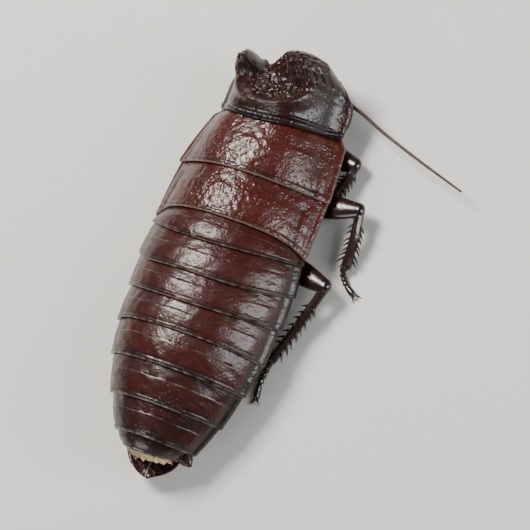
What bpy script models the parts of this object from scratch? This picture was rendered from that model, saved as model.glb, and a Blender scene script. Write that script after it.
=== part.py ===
"""A Madagascar hissing cockroach, an adult male, life size, standing still with its legs drawn in.

The animal faces -Y, its right side is at -X and +Z is up. Sizes are written in millimetres and
turned into metres where a mesh is made. Y grows from the head to the tail, and Z starts at the floor.
"""

import math
import random

import bmesh
import bpy
import numpy as np

MM = 0.001

# Clearances between neighbouring pieces, and the way the back plates lap like roof tiles
GAP = 0.3
LIP = 0.5
LAP = 1.2
PLATE_STEP = LIP + GAP

# The part's origin is below the middle of its box, so every point moves by this much
ORIGIN_X = -8.20
ORIGIN_Y = 33.27

# The arch across the back is an ellipse cut off at this angle, so the side margins stay sharp
MARGIN_ANGLE = math.radians(66.0)
COLUMNS = 18
CORE_COLUMNS = 16

# Hind edge of each back plate: how far back it lies on the midline, half its width, the height of its
# side margin, its rise over that, how far its corners sweep back, how sharply, and how flat its margin is
HIND_EDGES = {
    "pronotum": (12.0, 10.2, 3.6, 8.3, -1.9, 2, 0.80),
    "mesonotum": (20.1, 12.8, 4.8, 7.7, -0.2, 4, 0.55),
    "metanotum": (27.4, 12.8, 5.5, 7.5, 1.5, 6, 0.35),
    "tergite_1": (31.6, 13.0, 5.6, 7.8, -1.6, 2, 0.10),
    "tergite_2": (36.5, 13.35, 5.3, 8.4, -1.8, 4, 0.0),
    "tergite_3": (40.9, 13.05, 5.2, 8.6, -0.9, 2, 0.0),
    "tergite_4": (45.1, 12.65, 5.3, 8.3, 0.4, 4, 0.0),
    "tergite_5": (50.45, 11.5, 5.3, 7.5, 0.1, 4, 0.0),
    "tergite_6": (55.9, 9.6, 4.8, 6.8, 0.0, 4, 0.0),
    "tergite_7": (60.7, 6.9, 4.2, 5.8, 0.0, 4, 0.0),
    "supra_anal_plate": (62.9, 4.7, 4.5, 3.9, -0.6, 2, 0.0),
}
PLATE_NAMES = list(HIND_EDGES)[1:]
# How far the sides of a plate bulge out behind the plate before it
SIDE_SWELL = {"mesonotum": 0.11}
SWELL_START = 0.15
RIM_LIFT = 0.3
RIM_START = 0.86
BELL_SHARPNESS = 1.6
PLATE_SHOULDER = 2.3
PLATE_BULGE = 0.12
PLATE_ROWS = (0.0, 0.15, 0.45, 0.8, 1.0)

# Pronotum: the shield over the head, with a basin, a ridge round it and two blunt horns
SHIELD_FRONT = 0.9
SHIELD_FRONT_SWEEP = 1.3
SHIELD_NOTCH = (1.9, 0.44, 0.22)
SHIELD_FRONT_Z = 7.6
SHIELD_WIDEST = 10.3
SHIELD_MARGIN_RISE = 1.5
SHIELD_SHOULDER = 3.6
SHIELD_WIDEST_AT = 0.62
SHIELD_FRONT_NARROWING = 0.29
SHIELD_FRONT_POWER = 2.4
SHIELD_RISE_POWER = 3.4
SHIELD_LEAST_STEEPNESS = 0.35
SHIELD_FRONT_LEAN = 2.2
SHIELD_THICKNESS = 2.4
SHIELD_RIM_THICKNESS = 0.8
# The shield is tipped a little, right side up, and set to the right, most of all at its front
SHIELD_ROLL = math.radians(4.2)
SHIELD_ROLL_Z = 8.0
SHIELD_SHIFT = -0.35
SHIELD_SETTLING = 0.5
SHIELD_ROWS = 14
SHIELD_ROW_CROWDING = 1.35
SHIELD_UNDER_ROWS = (0.03, 0.1, 0.25, 0.5)
SHIELD_COLUMNS = 28
# Each horn: where its middle is, how far it reaches across and along, and its height over the shield
HORNS = {"r": (-4.9, 3.0, 5.0, 2.2, 3.5), "l": (6.5, 4.1, 1.8, 2.0, 3.4)}
HORN_LEAN = 0.36
HORN_EDGE = 0.16
HORN_STEEPNESS = 1.9
HORN_FADE = 0.06
HORN_CUT_Z = 10.7
HORN_CUT_RISE = 4.3
HORN_CUT_MORE = 0.3
HORN_CUT_SIDES = 20
RING_CENTRE = (-0.2, 5.9)
RING_RADII = (6.1, 3.8)
RING_HEIGHT = 1.0
RING_WIDTH = 0.18
RIDGE_START_Y = 4.0
RIDGE_FADE = 2.5
BASIN_DEPTH = 1.8
BASIN_REACH = 0.85
BASIN_FADE = 0.2
HIND_BEAD = (0.3, 0.97, 0.04)
# The dip between the horns: depth, middle and reach
SADDLE = (0.5, 3.3, 3.2, 1.6, 1.7)

# Underside
BELLY_Z = 2.4
THORAX_BELLY_Z = 3.3
CORE_FRONT = 0.45
CORE_REACH = 0.88
CORE_START = 0.05
CORE_END = 0.93
CORE_MIDDLE = 0.65
CORE_GAP = 1.5 * GAP
CORE_EDGE_DROP = 0.5
CORE_EDGE_INSET = 0.98
CORE_STRAIGHTENING = 0.5
STERNITE_STEP = 0.35

# Subgenital plate: how far back, half its width and the height of its edges
TAIL_PLATE = ((57.5, 5.6, 3.1), (60.5, 4.6, 3.0), (63.2, 4.1, 3.1), (64.8, 2.9, 3.3), (65.8, 1.3, 3.4))
TAIL_PLATE_THICKNESS = 0.8
TAIL_PLATE_DISH = 0.9
TAIL_PLATE_COLUMNS = 11
CERCI = {
    "r": ((-4.6, 60.7, 4.1), (-5.6, 61.5, 4.2), (-6.6, 62.2, 4.2)),
    "l": ((5.0, 60.5, 3.7), (5.0, 61.3, 3.65), (4.8, 62.1, 3.6)),
}
CERCUS_WIDTHS = (0.8, 1.05, 1.05, 0.85, 0.45)
CERCUS_HEIGHTS = (0.6, 0.75, 0.7, 0.6, 0.3)

# Head, hanging under the front of the shield
HEAD_CENTRE = (0.0, 3.9, 4.2)
HEAD_RADII = (3.2, 2.2, 2.7)
HEAD_LEAN = math.radians(-10.0)
EYE_CENTRE = (2.75, 3.55, 5.4)
EYE_RADII = (0.85, 1.15, 1.35)
LABRUM = ((0.0, 2.35, 3.2), (0.0, 2.3, 2.4), (0.0, 2.55, 1.7))
LABRUM_WIDTHS = (1.2, 1.35, 1.2, 0.8)
LABRUM_THICKNESS = 0.4
JAW = ((1.5, 3.8, 2.3), (1.15, 3.7, 1.7), (0.6, 3.6, 1.2))
JAW_WIDTHS = (0.65, 0.6, 0.5, 0.3)
LONG_PALP = ((2.2, 4.0, 2.9), (2.9, 3.6, 2.2), (3.1, 2.4, 1.7), (2.4, 1.4, 1.2), (1.9, 1.0, 0.7))
SHORT_PALP = ((0.9, 5.1, 2.4), (1.6, 5.3, 1.5), (2.0, 4.6, 0.8))
# Rings along the palp, its joints, and its widest and narrowest radius
LONG_PALP_BEADS = (9, 4, 0.34, 0.27)
SHORT_PALP_BEADS = (7, 3, 0.3, 0.26)

# Legs: root of the coxa, its end, the knee, the ankle, then the tarsus to the claws
LEGS = {
    "front_r": ((-2.5, 8.3, 3.1), (-6.6, 12.3, 1.9), (-13.5, 13.0, 2.3), (-11.6, 17.4, 1.2),
                ((-11.2, 18.4, 0.8), (-10.4, 20.0, 0.34), (-9.9, 21.3, 0.3))),
    "front_l": ((2.5, 8.3, 3.1), (5.2, 12.6, 1.9), (8.2, 11.5, 1.6), (7.5, 6.8, 1.2),
                ((7.3, 5.7, 0.8), (6.9, 4.1, 0.34), (6.3, 2.9, 0.3))),
    "mid_r": ((-2.7, 16.2, 3.1), (-7.8, 20.6, 2.0), (-17.1, 19.4, 3.3), (-17.2, 27.2, 1.2),
              ((-16.9, 28.4, 0.8), (-17.9, 29.9, 0.34), (-19.6, 31.1, 0.3))),
    "mid_l": ((2.7, 16.2, 3.1), (7.6, 20.4, 2.0), (12.2, 20.6, 2.4), (11.6, 27.0, 1.2),
              ((11.5, 28.1, 0.8), (11.9, 29.8, 0.34), (12.6, 31.1, 0.3))),
    "hind_r": ((-2.8, 24.0, 3.1), (-7.4, 29.6, 2.3), (-16.5, 31.6, 3.7), (-11.4, 43.4, 1.2),
               ((-11.0, 44.8, 0.8), (-10.5, 47.4, 0.34), (-10.8, 49.8, 0.3))),
    "hind_l": ((2.8, 24.0, 3.1), (7.2, 29.6, 2.3), (12.8, 32.8, 3.2), (11.2, 43.2, 1.2),
               ((11.0, 44.6, 0.8), (10.7, 47.0, 0.34), (10.9, 49.4, 0.3))),
}
COXA_SIZE = (2.5, 1.25)
COXA_WIDTHS = (0.8, 1.0, 1.0, 0.95, 0.8, 0.6)
COXA_HEIGHTS = (1.0, 1.0, 1.0, 0.95, 0.85, 0.75)
FEMUR_SIZE = (1.75, 0.86)
FEMUR_WIDTHS = (0.62, 0.85, 1.0, 1.0, 0.95, 0.85, 0.72, 0.6)
FEMUR_HEIGHTS = (0.8, 0.95, 1.0, 1.0, 1.0, 0.95, 0.9, 0.9)
FEMUR_ARCH = 0.1
TIBIA_WIDTHS = (1.0, 1.0, 1.05, 1.05, 1.0, 1.0, 1.1)
TIBIA_BOW = (0.25, 0.0, 0.1)
TIBIA_RADIUS = 0.72
TARSUS_RADIUS = 0.46
TARSAL_BEADS = 5
TARSUS_WAIST = 0.82
TARSUS_SWELL = 0.26
SPINES_PER_ROW = {"front": 4, "mid": 5, "hind": 6}
# Rows of spines: which side of the tibia, and how far they turn up
SPINE_ROWS = ((1, 0.25), (-1, 0.25), (1, -0.7))
SPINE_SPAN = (0.36, 0.82)
SPINE_SLANT = 0.75
SPINE_LENGTH = 1.9
SPINE_RADIUS = 0.3
SPINE_SCATTER = 0.3
SPINE_SHORTEST = 0.75
SPINE_GROWTH = 0.35
SPINE_SPREAD = 0.2
CLAW_LENGTH = 1.3
CLAW_RADIUS = 0.24
CLAW_SPREAD = 0.55
CLAW_INSET = 0.35
CLAW_OFFSET = 0.1
CLAW_DROP = -0.12

# Feelers, as points from the face to the tip
FEELERS = {
    "r": ((-1.75, 1.95, 5.3), (-2.6, 1.35, 5.0), (-4.6, 1.35, 4.5), (-7.3, 2.8, 3.9),
          (-9.8, 4.65, 3.7), (-12.4, 5.7, 3.9), (-16.9, 7.7, 4.2), (-23.3, 10.1, 4.0),
          (-30.9, 12.7, 3.3)),
    "l": ((1.75, 1.95, 5.3), (2.5, 1.45, 4.7), (4.3, 1.8, 3.7), (6.7, 3.0, 2.8),
          (9.0, 5.6, 1.9), (10.3, 9.5, 1.3), (11.4, 14.5, 1.2), (13.3, 20.0, 1.2),
          (14.3, 26.5, 1.1), (14.5, 32.0, 1.0)),
}
FEELER_RADIUS = 0.36
FEELER_TIP_RADIUS = 0.2
FEELER_STEPS = 30
SCAPE_RADIUS = 0.55
SCAPE_REACH = 0.05
FEELER_TAPER = 1.3

# Rounding of a tube's end: rings this far beyond it and this wide, as shares of its radius
END_RINGS = ((0.85, 0.45), (0.5, 0.85))

MAHOGANY = (0.105, 0.022, 0.014)
DARK_MAHOGANY = (0.035, 0.009, 0.007)
LEG_BLACK = (0.012, 0.008, 0.008)
BELLY_BROWN = (0.16, 0.055, 0.025)


def clear_scene():
    for item in list(bpy.data.objects):
        bpy.data.objects.remove(item, do_unlink=True)


def paint(item, colour, roughness):
    """Gives the piece a Principled material of its own."""
    material = bpy.data.materials.new(item.name + "_finish")
    material.use_nodes = True
    shader = material.node_tree.nodes["Principled BSDF"]
    shader.inputs["Base Color"].default_value = (*colour, 1.0)
    shader.inputs["Roughness"].default_value = roughness
    shader.inputs["Metallic"].default_value = 0.0
    item.data.materials.clear()
    item.data.materials.append(material)
    item.data.shade_smooth()
    item.data.set_sharp_from_angle(angle=math.radians(40.0))


def mesh_object(name, points, faces):
    """Makes an object from points in millimetres, with its faces turned outward."""
    mesh = bpy.data.meshes.new(name)
    moved = [((x - ORIGIN_X) * MM, (y - ORIGIN_Y) * MM, z * MM) for x, y, z in points]
    mesh.from_pydata(moved, [], faces)
    shape = bmesh.new()
    shape.from_mesh(mesh)
    bmesh.ops.recalc_face_normals(shape, faces=shape.faces)
    shape.to_mesh(mesh)
    shape.free()
    item = bpy.data.objects.new(name, mesh)
    bpy.context.scene.collection.objects.link(item)
    return item


def swept(name, loops, folded=False):
    """Joins closed loops into one solid. Its caps are flat, or folded between the loops' two halves."""
    columns, count = len(loops), len(loops[0])
    points = [tuple(p) for loop in loops for p in loop]
    faces = []
    for j in range(columns - 1):
        for i in range(count):
            k = (i + 1) % count
            faces.append((j * count + i, j * count + k, (j + 1) * count + k, (j + 1) * count + i))
    caps = [tuple(range(count))]
    if folded:
        caps = [(i, i + 1, count - 2 - i, count - 1 - i) for i in range(count // 2 - 1)]
    for first in (0, (columns - 1) * count):
        faces += [tuple(first + i for i in cap) for cap in caps]
    return mesh_object(name, points, faces)


def slab(name, top, bottom):
    """A solid between two sheets of points, given row by row."""
    top, bottom = np.asarray(top), np.asarray(bottom)
    loops = [np.concatenate([top[:, j], bottom[::-1, j]]) for j in range(top.shape[1])]
    return swept(name, loops, folded=True)


def freeze(item):
    """Puts the result of the piece's modifiers into its mesh."""
    bpy.context.view_layer.update()
    graph = bpy.context.evaluated_depsgraph_get()
    mesh = bpy.data.meshes.new_from_object(item.evaluated_get(graph))
    item.modifiers.clear()
    item.data = mesh


def keep_largest(item):
    """Drops every closed surface but the one that takes the most room."""
    shape = bmesh.new()
    shape.from_mesh(item.data)
    left = set(shape.verts)
    groups = []
    while left:
        stack = [left.pop()]
        group = set(stack)
        while stack:
            for edge in stack.pop().link_edges:
                for vert in edge.verts:
                    if vert in left:
                        left.discard(vert)
                        group.add(vert)
                        stack.append(vert)
        groups.append(group)

    def room(group):
        places = np.array([vert.co for vert in group])
        return float(np.prod(places.max(axis=0) - places.min(axis=0)))

    groups.sort(key=room)
    scraps = [vert for group in groups[:-1] for vert in group]
    bmesh.ops.delete(shape, geom=scraps, context="VERTS")
    shape.to_mesh(item.data)
    shape.free()


def boolean(item, others, operation, solver="EXACT"):
    """Cuts, joins or meets the piece with the others in one step and keeps its largest surface."""
    group = bpy.data.collections.new("operands")
    bpy.context.scene.collection.children.link(group)
    for other in others:
        group.objects.link(other)
    modifier = item.modifiers.new("shape", "BOOLEAN")
    modifier.operation = operation
    modifier.solver = solver
    modifier.operand_type = "COLLECTION"
    modifier.collection = group
    freeze(item)
    bpy.data.collections.remove(group)
    for other in others:
        bpy.data.objects.remove(other, do_unlink=True)
    keep_largest(item)


def grown(item, by=GAP):
    """A copy of the piece with its skin moved outward, for cutting its neighbour clear."""
    copy = bpy.data.objects.new(item.name + "_grown", item.data.copy())
    bpy.context.scene.collection.objects.link(copy)
    shape = bmesh.new()
    shape.from_mesh(copy.data)
    shape.normal_update()
    moves = [vert.normal * vert.calc_shell_factor() * by * MM for vert in shape.verts]
    for vert, move in zip(shape.verts, moves):
        vert.co += move
    shape.to_mesh(copy.data)
    shape.free()
    return copy


def clear_of(item, *neighbours, solver="EXACT"):
    """Cuts the piece back to a small gap from each neighbour."""
    for neighbour in neighbours:
        boolean(item, [grown(neighbour)], "DIFFERENCE", solver)


def smooth_path(points, count):
    """Points evenly spread in parameter along a Catmull-Rom curve through the given ones."""
    given = [np.array(p, float) for p in points]
    ends = [2 * given[0] - given[1]] + given + [2 * given[-1] - given[-2]]
    path = []
    for place in np.linspace(0.0, len(given) - 1.0, count):
        i = min(int(place), len(given) - 2)
        t = place - i
        a, b, c, d = ends[i : i + 4]
        path.append(
            0.5 * (2 * b + (c - a) * t + (2 * a - 5 * b + 4 * c - d) * t**2
                   + (3 * b - a - 3 * c + d) * t**3)
        )
    return np.array(path)


def tube(name, path, widths, heights, sides=10, up=(0.0, 0.0, 1.0)):
    """A solid of oval rings along the path, blunt and rounded at its ends."""
    path = np.asarray(path, float)
    widths = np.broadcast_to(np.asarray(widths, float), len(path))
    heights = np.broadcast_to(np.asarray(heights, float), len(path))
    ahead = np.gradient(path, axis=0)
    ahead /= np.linalg.norm(ahead, axis=1)[:, None]
    angles = (np.arange(sides) + 0.5) * 2 * math.pi / sides - math.pi / 2

    def ring(centre, direction, width, height):
        side = np.cross(direction, np.array(up, float))
        side /= np.linalg.norm(side)
        lift = np.cross(side, direction)
        return [centre + side * width * math.cos(a) + lift * height * math.sin(a) for a in angles]

    def end(i, sign):
        reach = min(widths[i], heights[i])
        return [ring(path[i] + ahead[i] * sign * reach * beyond, ahead[i], widths[i] * size, heights[i] * size)
                for beyond, size in END_RINGS]

    rings = end(0, -1)
    rings += [ring(path[i], ahead[i], widths[i], heights[i]) for i in range(len(path))]
    rings += end(-1, 1)[::-1]
    return swept(name, rings)


def ellipsoid(name, centre, radii, segments=20, rings=12, lean=0.0):
    """A ball stretched to the radii and leaned about the X axis."""
    shape = bmesh.new()
    bmesh.ops.create_uvsphere(shape, u_segments=segments, v_segments=rings, radius=1.0)
    points = []
    for vert in shape.verts:
        x, y, z = (vert.co[i] * radii[i] for i in range(3))
        turned_y = y * math.cos(lean) - z * math.sin(lean)
        turned_z = y * math.sin(lean) + z * math.cos(lean)
        points.append((centre[0] + x, centre[1] + turned_y, centre[2] + turned_z))
    faces = [[vert.index for vert in face.verts] for face in shape.faces]
    shape.free()
    return mesh_object(name, points, faces)


def section(angle, half_width, height, flatness, shoulder=PLATE_SHOULDER):
    """Across the back: distance from the midline and height over the side margin."""
    u = np.sin(angle) / math.sin(MARGIN_ANGLE)
    round_arch = (np.cos(angle) - math.cos(MARGIN_ANGLE)) / (1 - math.cos(MARGIN_ANGLE))
    bell = (1 - np.minimum(np.abs(u), 1.0) ** shoulder) ** BELL_SHARPNESS
    lip = np.clip((np.abs(u) - RIM_START) / (1 - RIM_START), 0, 1) ** 2
    z = height * ((1 - flatness) * round_arch + flatness * bell) + RIM_LIFT * flatness * lip
    return half_width * u, z


def section_normal(angle, half_width, height, flatness, shoulder=PLATE_SHOULDER):
    """Outward direction of the arch, square to it in the plane across the body."""
    small = 0.02
    inner = np.clip(angle, -MARGIN_ANGLE + small, MARGIN_ANGLE - small)
    x0, z0 = section(inner - small, half_width, height, flatness, shoulder)
    x1, z1 = section(inner + small, half_width, height, flatness, shoulder)
    normal = np.stack([-(z1 - z0), np.zeros_like(x0), x1 - x0], axis=-1)
    return normal / np.linalg.norm(normal, axis=-1)[:, None]


def edge_line(name, angles):
    """The hind edge of a plate, with the outward direction at each point."""
    station, half_width, margin, height, sweep, power, flatness = HIND_EDGES[name]
    shoulder = SHIELD_SHOULDER if name == "pronotum" else PLATE_SHOULDER
    x, z = section(angles, half_width, height, flatness, shoulder)
    u = x / half_width
    y = station + sweep * np.abs(u) ** power
    line = np.stack([x, y, margin + z], axis=-1)
    return line, section_normal(angles, half_width, height, flatness, shoulder)


class Plate:
    """The outer surface of one back plate, from under the plate before it to its own hind edge."""

    def __init__(self, name, start, start_normals, angles):
        self.name = name
        self.start = start
        self.start_normals = start_normals
        self.hind, self.hind_normals = edge_line(name, angles)
        length = self.hind[len(angles) // 2, 1] - start[len(angles) // 2, 1]
        self.rabbet = 1 - (LAP + GAP) / length
        self.lap = 1 - LAP / length

    def at(self, v, depth=0.0):
        """The line across the plate at v, sunk by depth below its outer surface."""
        line = self.start + (self.hind - self.start) * v
        line[:, 0] *= 1 + SIDE_SWELL.get(self.name, 0.0) * min(v / SWELL_START, 1.0) * (1 - v)
        bulge = PLATE_BULGE * math.sin(math.pi * v)
        normals = self.start_normals + (self.hind_normals - self.start_normals) * v
        normals /= np.linalg.norm(normals, axis=1)[:, None]
        return line + normals * (bulge - depth)

    def tuck(self, depth):
        """Where the next plate's hidden front edge lies under this one."""
        return self.at(self.lap, depth)


class Shield:
    """The outer surface of the pronotum, before its horns, ridge and basin."""

    name = "pronotum"

    def __init__(self, angles):
        self.angles = angles
        self.u = np.sin(angles) / math.sin(MARGIN_ANGLE)
        self.hind, self.hind_normals = edge_line(self.name, angles)
        length = HIND_EDGES[self.name][0] - SHIELD_FRONT
        self.rabbet = 1 - (LAP + GAP) / length
        self.lap = 1 - LAP / length

    def half_width(self, v):
        if v < SHIELD_WIDEST_AT:
            return SHIELD_WIDEST * (1 - SHIELD_FRONT_NARROWING * (1 - v / SHIELD_WIDEST_AT) ** 2)
        back = (v - SHIELD_WIDEST_AT) / (1 - SHIELD_WIDEST_AT)
        return SHIELD_WIDEST + (HIND_EDGES[self.name][1] - SHIELD_WIDEST) * back**2

    def at(self, v, depth=0.0):
        _, _, margin, height, _, _, flatness = HIND_EDGES[self.name]
        rise = 1 - (1 - v) ** SHIELD_RISE_POWER
        margin += SHIELD_MARGIN_RISE * (1 - v) ** 2
        x, z = section(self.angles, self.half_width(v), height * rise, flatness, SHIELD_SHOULDER)
        deep, place, reach = SHIELD_NOTCH
        front = SHIELD_FRONT + SHIELD_FRONT_SWEEP * np.abs(self.u) ** SHIELD_FRONT_POWER
        front += deep * np.exp(-(((self.u - place) / reach) ** 2))
        y = front + (self.hind[:, 1] - front) * v
        brow = (SHIELD_FRONT_Z - margin) * (1 - v) ** 3 * (1 - self.u**2)
        line = np.stack([x, y, margin + brow + z], axis=-1)
        steep = height * max(rise, SHIELD_LEAST_STEEPNESS)
        normals = section_normal(self.angles, self.half_width(v), steep, flatness, SHIELD_SHOULDER)
        normals[:, 1] -= SHIELD_FRONT_LEAN * (1 - v) ** 6
        normals /= np.linalg.norm(normals, axis=1)[:, None]
        line -= normals * np.reshape(depth, (-1, 1))
        return self.settled(line, 1 - SHIELD_SETTLING * v)

    def settled(self, line, share):
        """Tips the line right side up and moves it to the right."""
        roll = SHIELD_ROLL * share
        x, z = line[:, 0].copy(), line[:, 2] - SHIELD_ROLL_Z
        line[:, 0] = x * math.cos(roll) + z * math.sin(roll) + SHIELD_SHIFT * share
        line[:, 2] = SHIELD_ROLL_Z - x * math.sin(roll) + z * math.cos(roll)
        return line

    def under(self, v, more=0.0):
        """The underside, thin at the side margins and thick below the basin."""
        thick = SHIELD_THICKNESS - SHIELD_RIM_THICKNESS
        return self.at(v, SHIELD_RIM_THICKNESS + thick * (1 - self.u**4) + more)

    def tuck(self, depth):
        return self.at(self.lap, depth)


def lay_out(columns, reach=1.0):
    """The shield's surface and those of the plates behind it, each starting under the one before."""
    angles = np.linspace(-MARGIN_ANGLE, MARGIN_ANGLE, columns + 1) * reach
    shield = Shield(angles)
    plates = []
    before = shield
    for name in PLATE_NAMES:
        start = before.at(1.0, PLATE_STEP)
        plates.append(Plate(name, start, before.hind_normals, angles))
        before = plates[-1]
    return shield, plates


def horn_rise(x, y, v, u):
    """Height of the two horns over the plain shield."""
    horn = 0.0
    inward = np.clip((1 - np.abs(u)) / HORN_EDGE, 0, 1)
    for horn_x, horn_y, wide, long, tall in HORNS.values():
        spread = ((x - horn_x) / wide) ** 2 + ((y - horn_y) / long) ** 2
        horn = horn + tall * np.exp(-(spread**HORN_STEEPNESS))
    return horn * inward * np.clip(v / HORN_FADE, 0, 1)


def shield_relief(x, y, v):
    """Height of the ridge, basin, dip between the horns and beaded rim over the plain shield."""
    ring = np.hypot((x - RING_CENTRE[0]) / RING_RADII[0], (y - RING_CENTRE[1]) / RING_RADII[1])
    deep, middle_x, middle_y, wide, long = SADDLE
    dip = deep * np.exp(-(((x - middle_x) / wide) ** 2) - ((y - middle_y) / long) ** 2)
    behind = np.clip((y - RIDGE_START_Y) / RIDGE_FADE, 0, 1)
    ridge = RING_HEIGHT * np.exp(-(((ring - 1) / RING_WIDTH) ** 2)) * behind
    basin = BASIN_DEPTH * np.exp(-((ring / BASIN_REACH) ** 6)) * np.clip(v / BASIN_FADE, 0, 1)
    height, place, width = HIND_BEAD
    bead = height * np.exp(-(((v - place) / width) ** 2))
    return ridge - basin - dip * np.clip(v / HORN_FADE, 0, 1) + bead


def build_shield(shield):
    """The pronotum as one solid, and its two horns parted from it by thin cuts."""
    rows = np.linspace(0, 1, SHIELD_ROWS) ** SHIELD_ROW_CROWDING
    top = []
    for v in rows:
        line = shield.at(v)
        horn = horn_rise(line[:, 0], line[:, 1], v, shield.u)
        line[:, 2] += shield_relief(line[:, 0], line[:, 1], v) + horn
        line[:, 1] -= HORN_LEAN * horn
        top.append(line)
    bottom = [shield.under(v) for v in (*SHIELD_UNDER_ROWS, shield.rabbet)]
    bottom.append(shield.at(shield.rabbet, LIP))
    bottom.append(shield.at(1.0, LIP))
    top, bottom = np.array(top), np.array(bottom)
    loops = [np.concatenate([top[:, j], bottom[::-1, j]]) for j in range(top.shape[1])]
    pronotum = swept("pronotum", loops)
    paint(pronotum, DARK_MAHOGANY, 0.3)
    for label in HORNS:
        horn = swept("horn_" + label, loops)
        # EXACT loses this folded shell
        boolean(horn, [horn_block(label, 0.0)], "INTERSECT", "MANIFOLD")
        boolean(pronotum, [horn_block(label, GAP)], "DIFFERENCE", "MANIFOLD")
        paint(horn, DARK_MAHOGANY, 0.3)
    return pronotum


def horn_block(label, more):
    """An upright block round one horn, from its root plane up."""
    x, y, wide, long, _ = HORNS[label]
    wide, long = wide + more, long + HORN_CUT_MORE + more
    rings = []
    for z in (HORN_CUT_Z - more, HORN_CUT_Z + HORN_CUT_RISE):
        angles = np.arange(HORN_CUT_SIDES) * 2 * math.pi / HORN_CUT_SIDES
        rings.append([(x + wide * math.cos(a), y + long * math.sin(a), z) for a in angles])
    return swept("horn_block", rings)


def build_plate(plate, before):
    """One lapped plate: a hidden front edge, a body that thickens and a thin hind lip."""
    top = [before.tuck(PLATE_STEP)] + [plate.at(v) for v in PLATE_ROWS]
    thick = PLATE_STEP + LIP
    bottom = [
        plate.at(1.0, LIP),
        plate.at(plate.rabbet, LIP),
        plate.at(plate.rabbet, thick),
        plate.at(0.0, LIP),
        before.tuck(thick),
    ]
    if plate.name == "supra_anal_plate":
        bottom[1:3] = []
    loops = np.stack(top + bottom, axis=1)
    item = swept(plate.name, loops)
    paint(item, MAHOGANY, 0.32)
    return item


def core_rows(shield, plates, first, last):
    """Lines of the soft body just under the plates, each with its place along the plate."""
    rows = []
    deep = PLATE_STEP + LIP + CORE_GAP
    if first == "pronotum":
        rows += [(shield.under(v, CORE_GAP), v) for v in (CORE_FRONT, CORE_MIDDLE, shield.rabbet)]
        rows.append((shield.at(CORE_END, deep), CORE_END))
    names = [plate.name for plate in plates]
    start = 0 if first == "pronotum" else names.index(first)
    for plate in plates[start : names.index(last) + 1]:
        rows.append((plate.at(CORE_START, LIP + CORE_GAP), CORE_START))
        rows.append((plate.at(plate.rabbet, deep), plate.rabbet))
        rows.append((plate.at(CORE_END, deep), CORE_END))
    return rows


def build_core(name, shield, plates, first, last, belly, curve, colour):
    """The body under the plates, with each sternite's hind edge standing a little proud."""
    rows = core_rows(shield, plates, first, last)
    top = np.array([row[0] for row in rows])
    bottom = top.copy()
    for k, (line, v) in enumerate(rows):
        u = np.abs(line[:, 0]) / np.abs(line[:, 0]).max()
        edge = line[:, 2].min() - CORE_EDGE_DROP
        step = STERNITE_STEP * (1 - v)
        bottom[k, :, 2] = belly + (edge - belly) * u**curve + step * (1 - u**4)
        bottom[k, :, 0] *= CORE_EDGE_INSET
        middle = line[len(line) // 2, 1]
        bottom[k, :, 1] = middle + (line[:, 1] - middle) * CORE_STRAIGHTENING
    item = slab(name, top, bottom)
    paint(item, colour, 0.4)
    return item


def on_side(points, side):
    return [(side * x, y, z) for x, y, z in points]


def build_tail(roof):
    """The subgenital plate that closes the tail from below, and the two short cerci."""
    rows = []
    for y, half_width, z in TAIL_PLATE:
        u = np.linspace(-1, 1, TAIL_PLATE_COLUMNS)
        dish = TAIL_PLATE_DISH * (u**2 - 1)
        rows.append(np.stack([half_width * u, np.full_like(u, y), z + dish], axis=-1))
    bottom = np.array(rows)
    top = bottom + np.array([0.0, 0.0, TAIL_PLATE_THICKNESS])
    plate = slab("subgenital_plate", top, bottom)
    paint(plate, DARK_MAHOGANY, 0.35)
    pieces = [plate]
    for label, points in CERCI.items():
        path = smooth_path(points, len(CERCUS_WIDTHS))
        cercus = tube("cercus_" + label, path, CERCUS_WIDTHS, CERCUS_HEIGHTS, 8)
        clear_of(cercus, plate, roof, solver="MANIFOLD")
        paint(cercus, DARK_MAHOGANY, 0.4)
        pieces.append(cercus)
    return pieces


def build_head():
    eyes = []
    head = ellipsoid("head", HEAD_CENTRE, HEAD_RADII, 18, 12, HEAD_LEAN)
    paint(head, DARK_MAHOGANY, 0.3)
    for side, label in ((-1, "r"), (1, "l")):
        x, y, z = EYE_CENTRE
        eye = ellipsoid("eye_" + label, (side * x, y, z), EYE_RADII, 10, 8)
        clear_of(eye, head)
        paint(eye, LEG_BLACK, 0.15)
        eyes.append(eye)
    return head, eyes


def build_mouth(head):
    """The upper lip, the jaws behind it and the two pairs of palps."""
    lip_path = smooth_path(LABRUM, len(LABRUM_WIDTHS))
    labrum = tube("labrum", lip_path, LABRUM_WIDTHS, LABRUM_THICKNESS, 10, up=(0, 1, 0))
    clear_of(labrum, head, solver="MANIFOLD")
    paint(labrum, BELLY_BROWN, 0.35)
    for side, label in ((-1, "r"), (1, "l")):
        jaw_path = smooth_path(on_side(JAW, side), len(JAW_WIDTHS))
        jaw = tube("mandible_" + label, jaw_path, JAW_WIDTHS, JAW_WIDTHS, 8, up=(0, 1, 0))
        clear_of(jaw, head, labrum, solver="MANIFOLD")
        paint(jaw, LEG_BLACK, 0.3)
        radii = beads(*LONG_PALP_BEADS)
        long_path = smooth_path(on_side(LONG_PALP, side), len(radii))
        long_palp = tube("maxillary_palp_" + label, long_path, radii, radii, 6)
        clear_of(long_palp, head, jaw, solver="MANIFOLD")
        paint(long_palp, BELLY_BROWN, 0.4)
        radii = beads(*SHORT_PALP_BEADS)
        short_path = smooth_path(on_side(SHORT_PALP, side), len(radii))
        short_palp = tube("labial_palp_" + label, short_path, radii, radii, 6)
        clear_of(short_palp, head, jaw, solver="MANIFOLD")
        paint(short_palp, BELLY_BROWN, 0.4)


def beads(count, bumps, wide, narrow):
    """Radii that swell and shrink along a jointed part."""
    t = np.linspace(0, bumps, count)
    return narrow + (wide - narrow) * np.abs(np.sin(math.pi * t))


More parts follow.
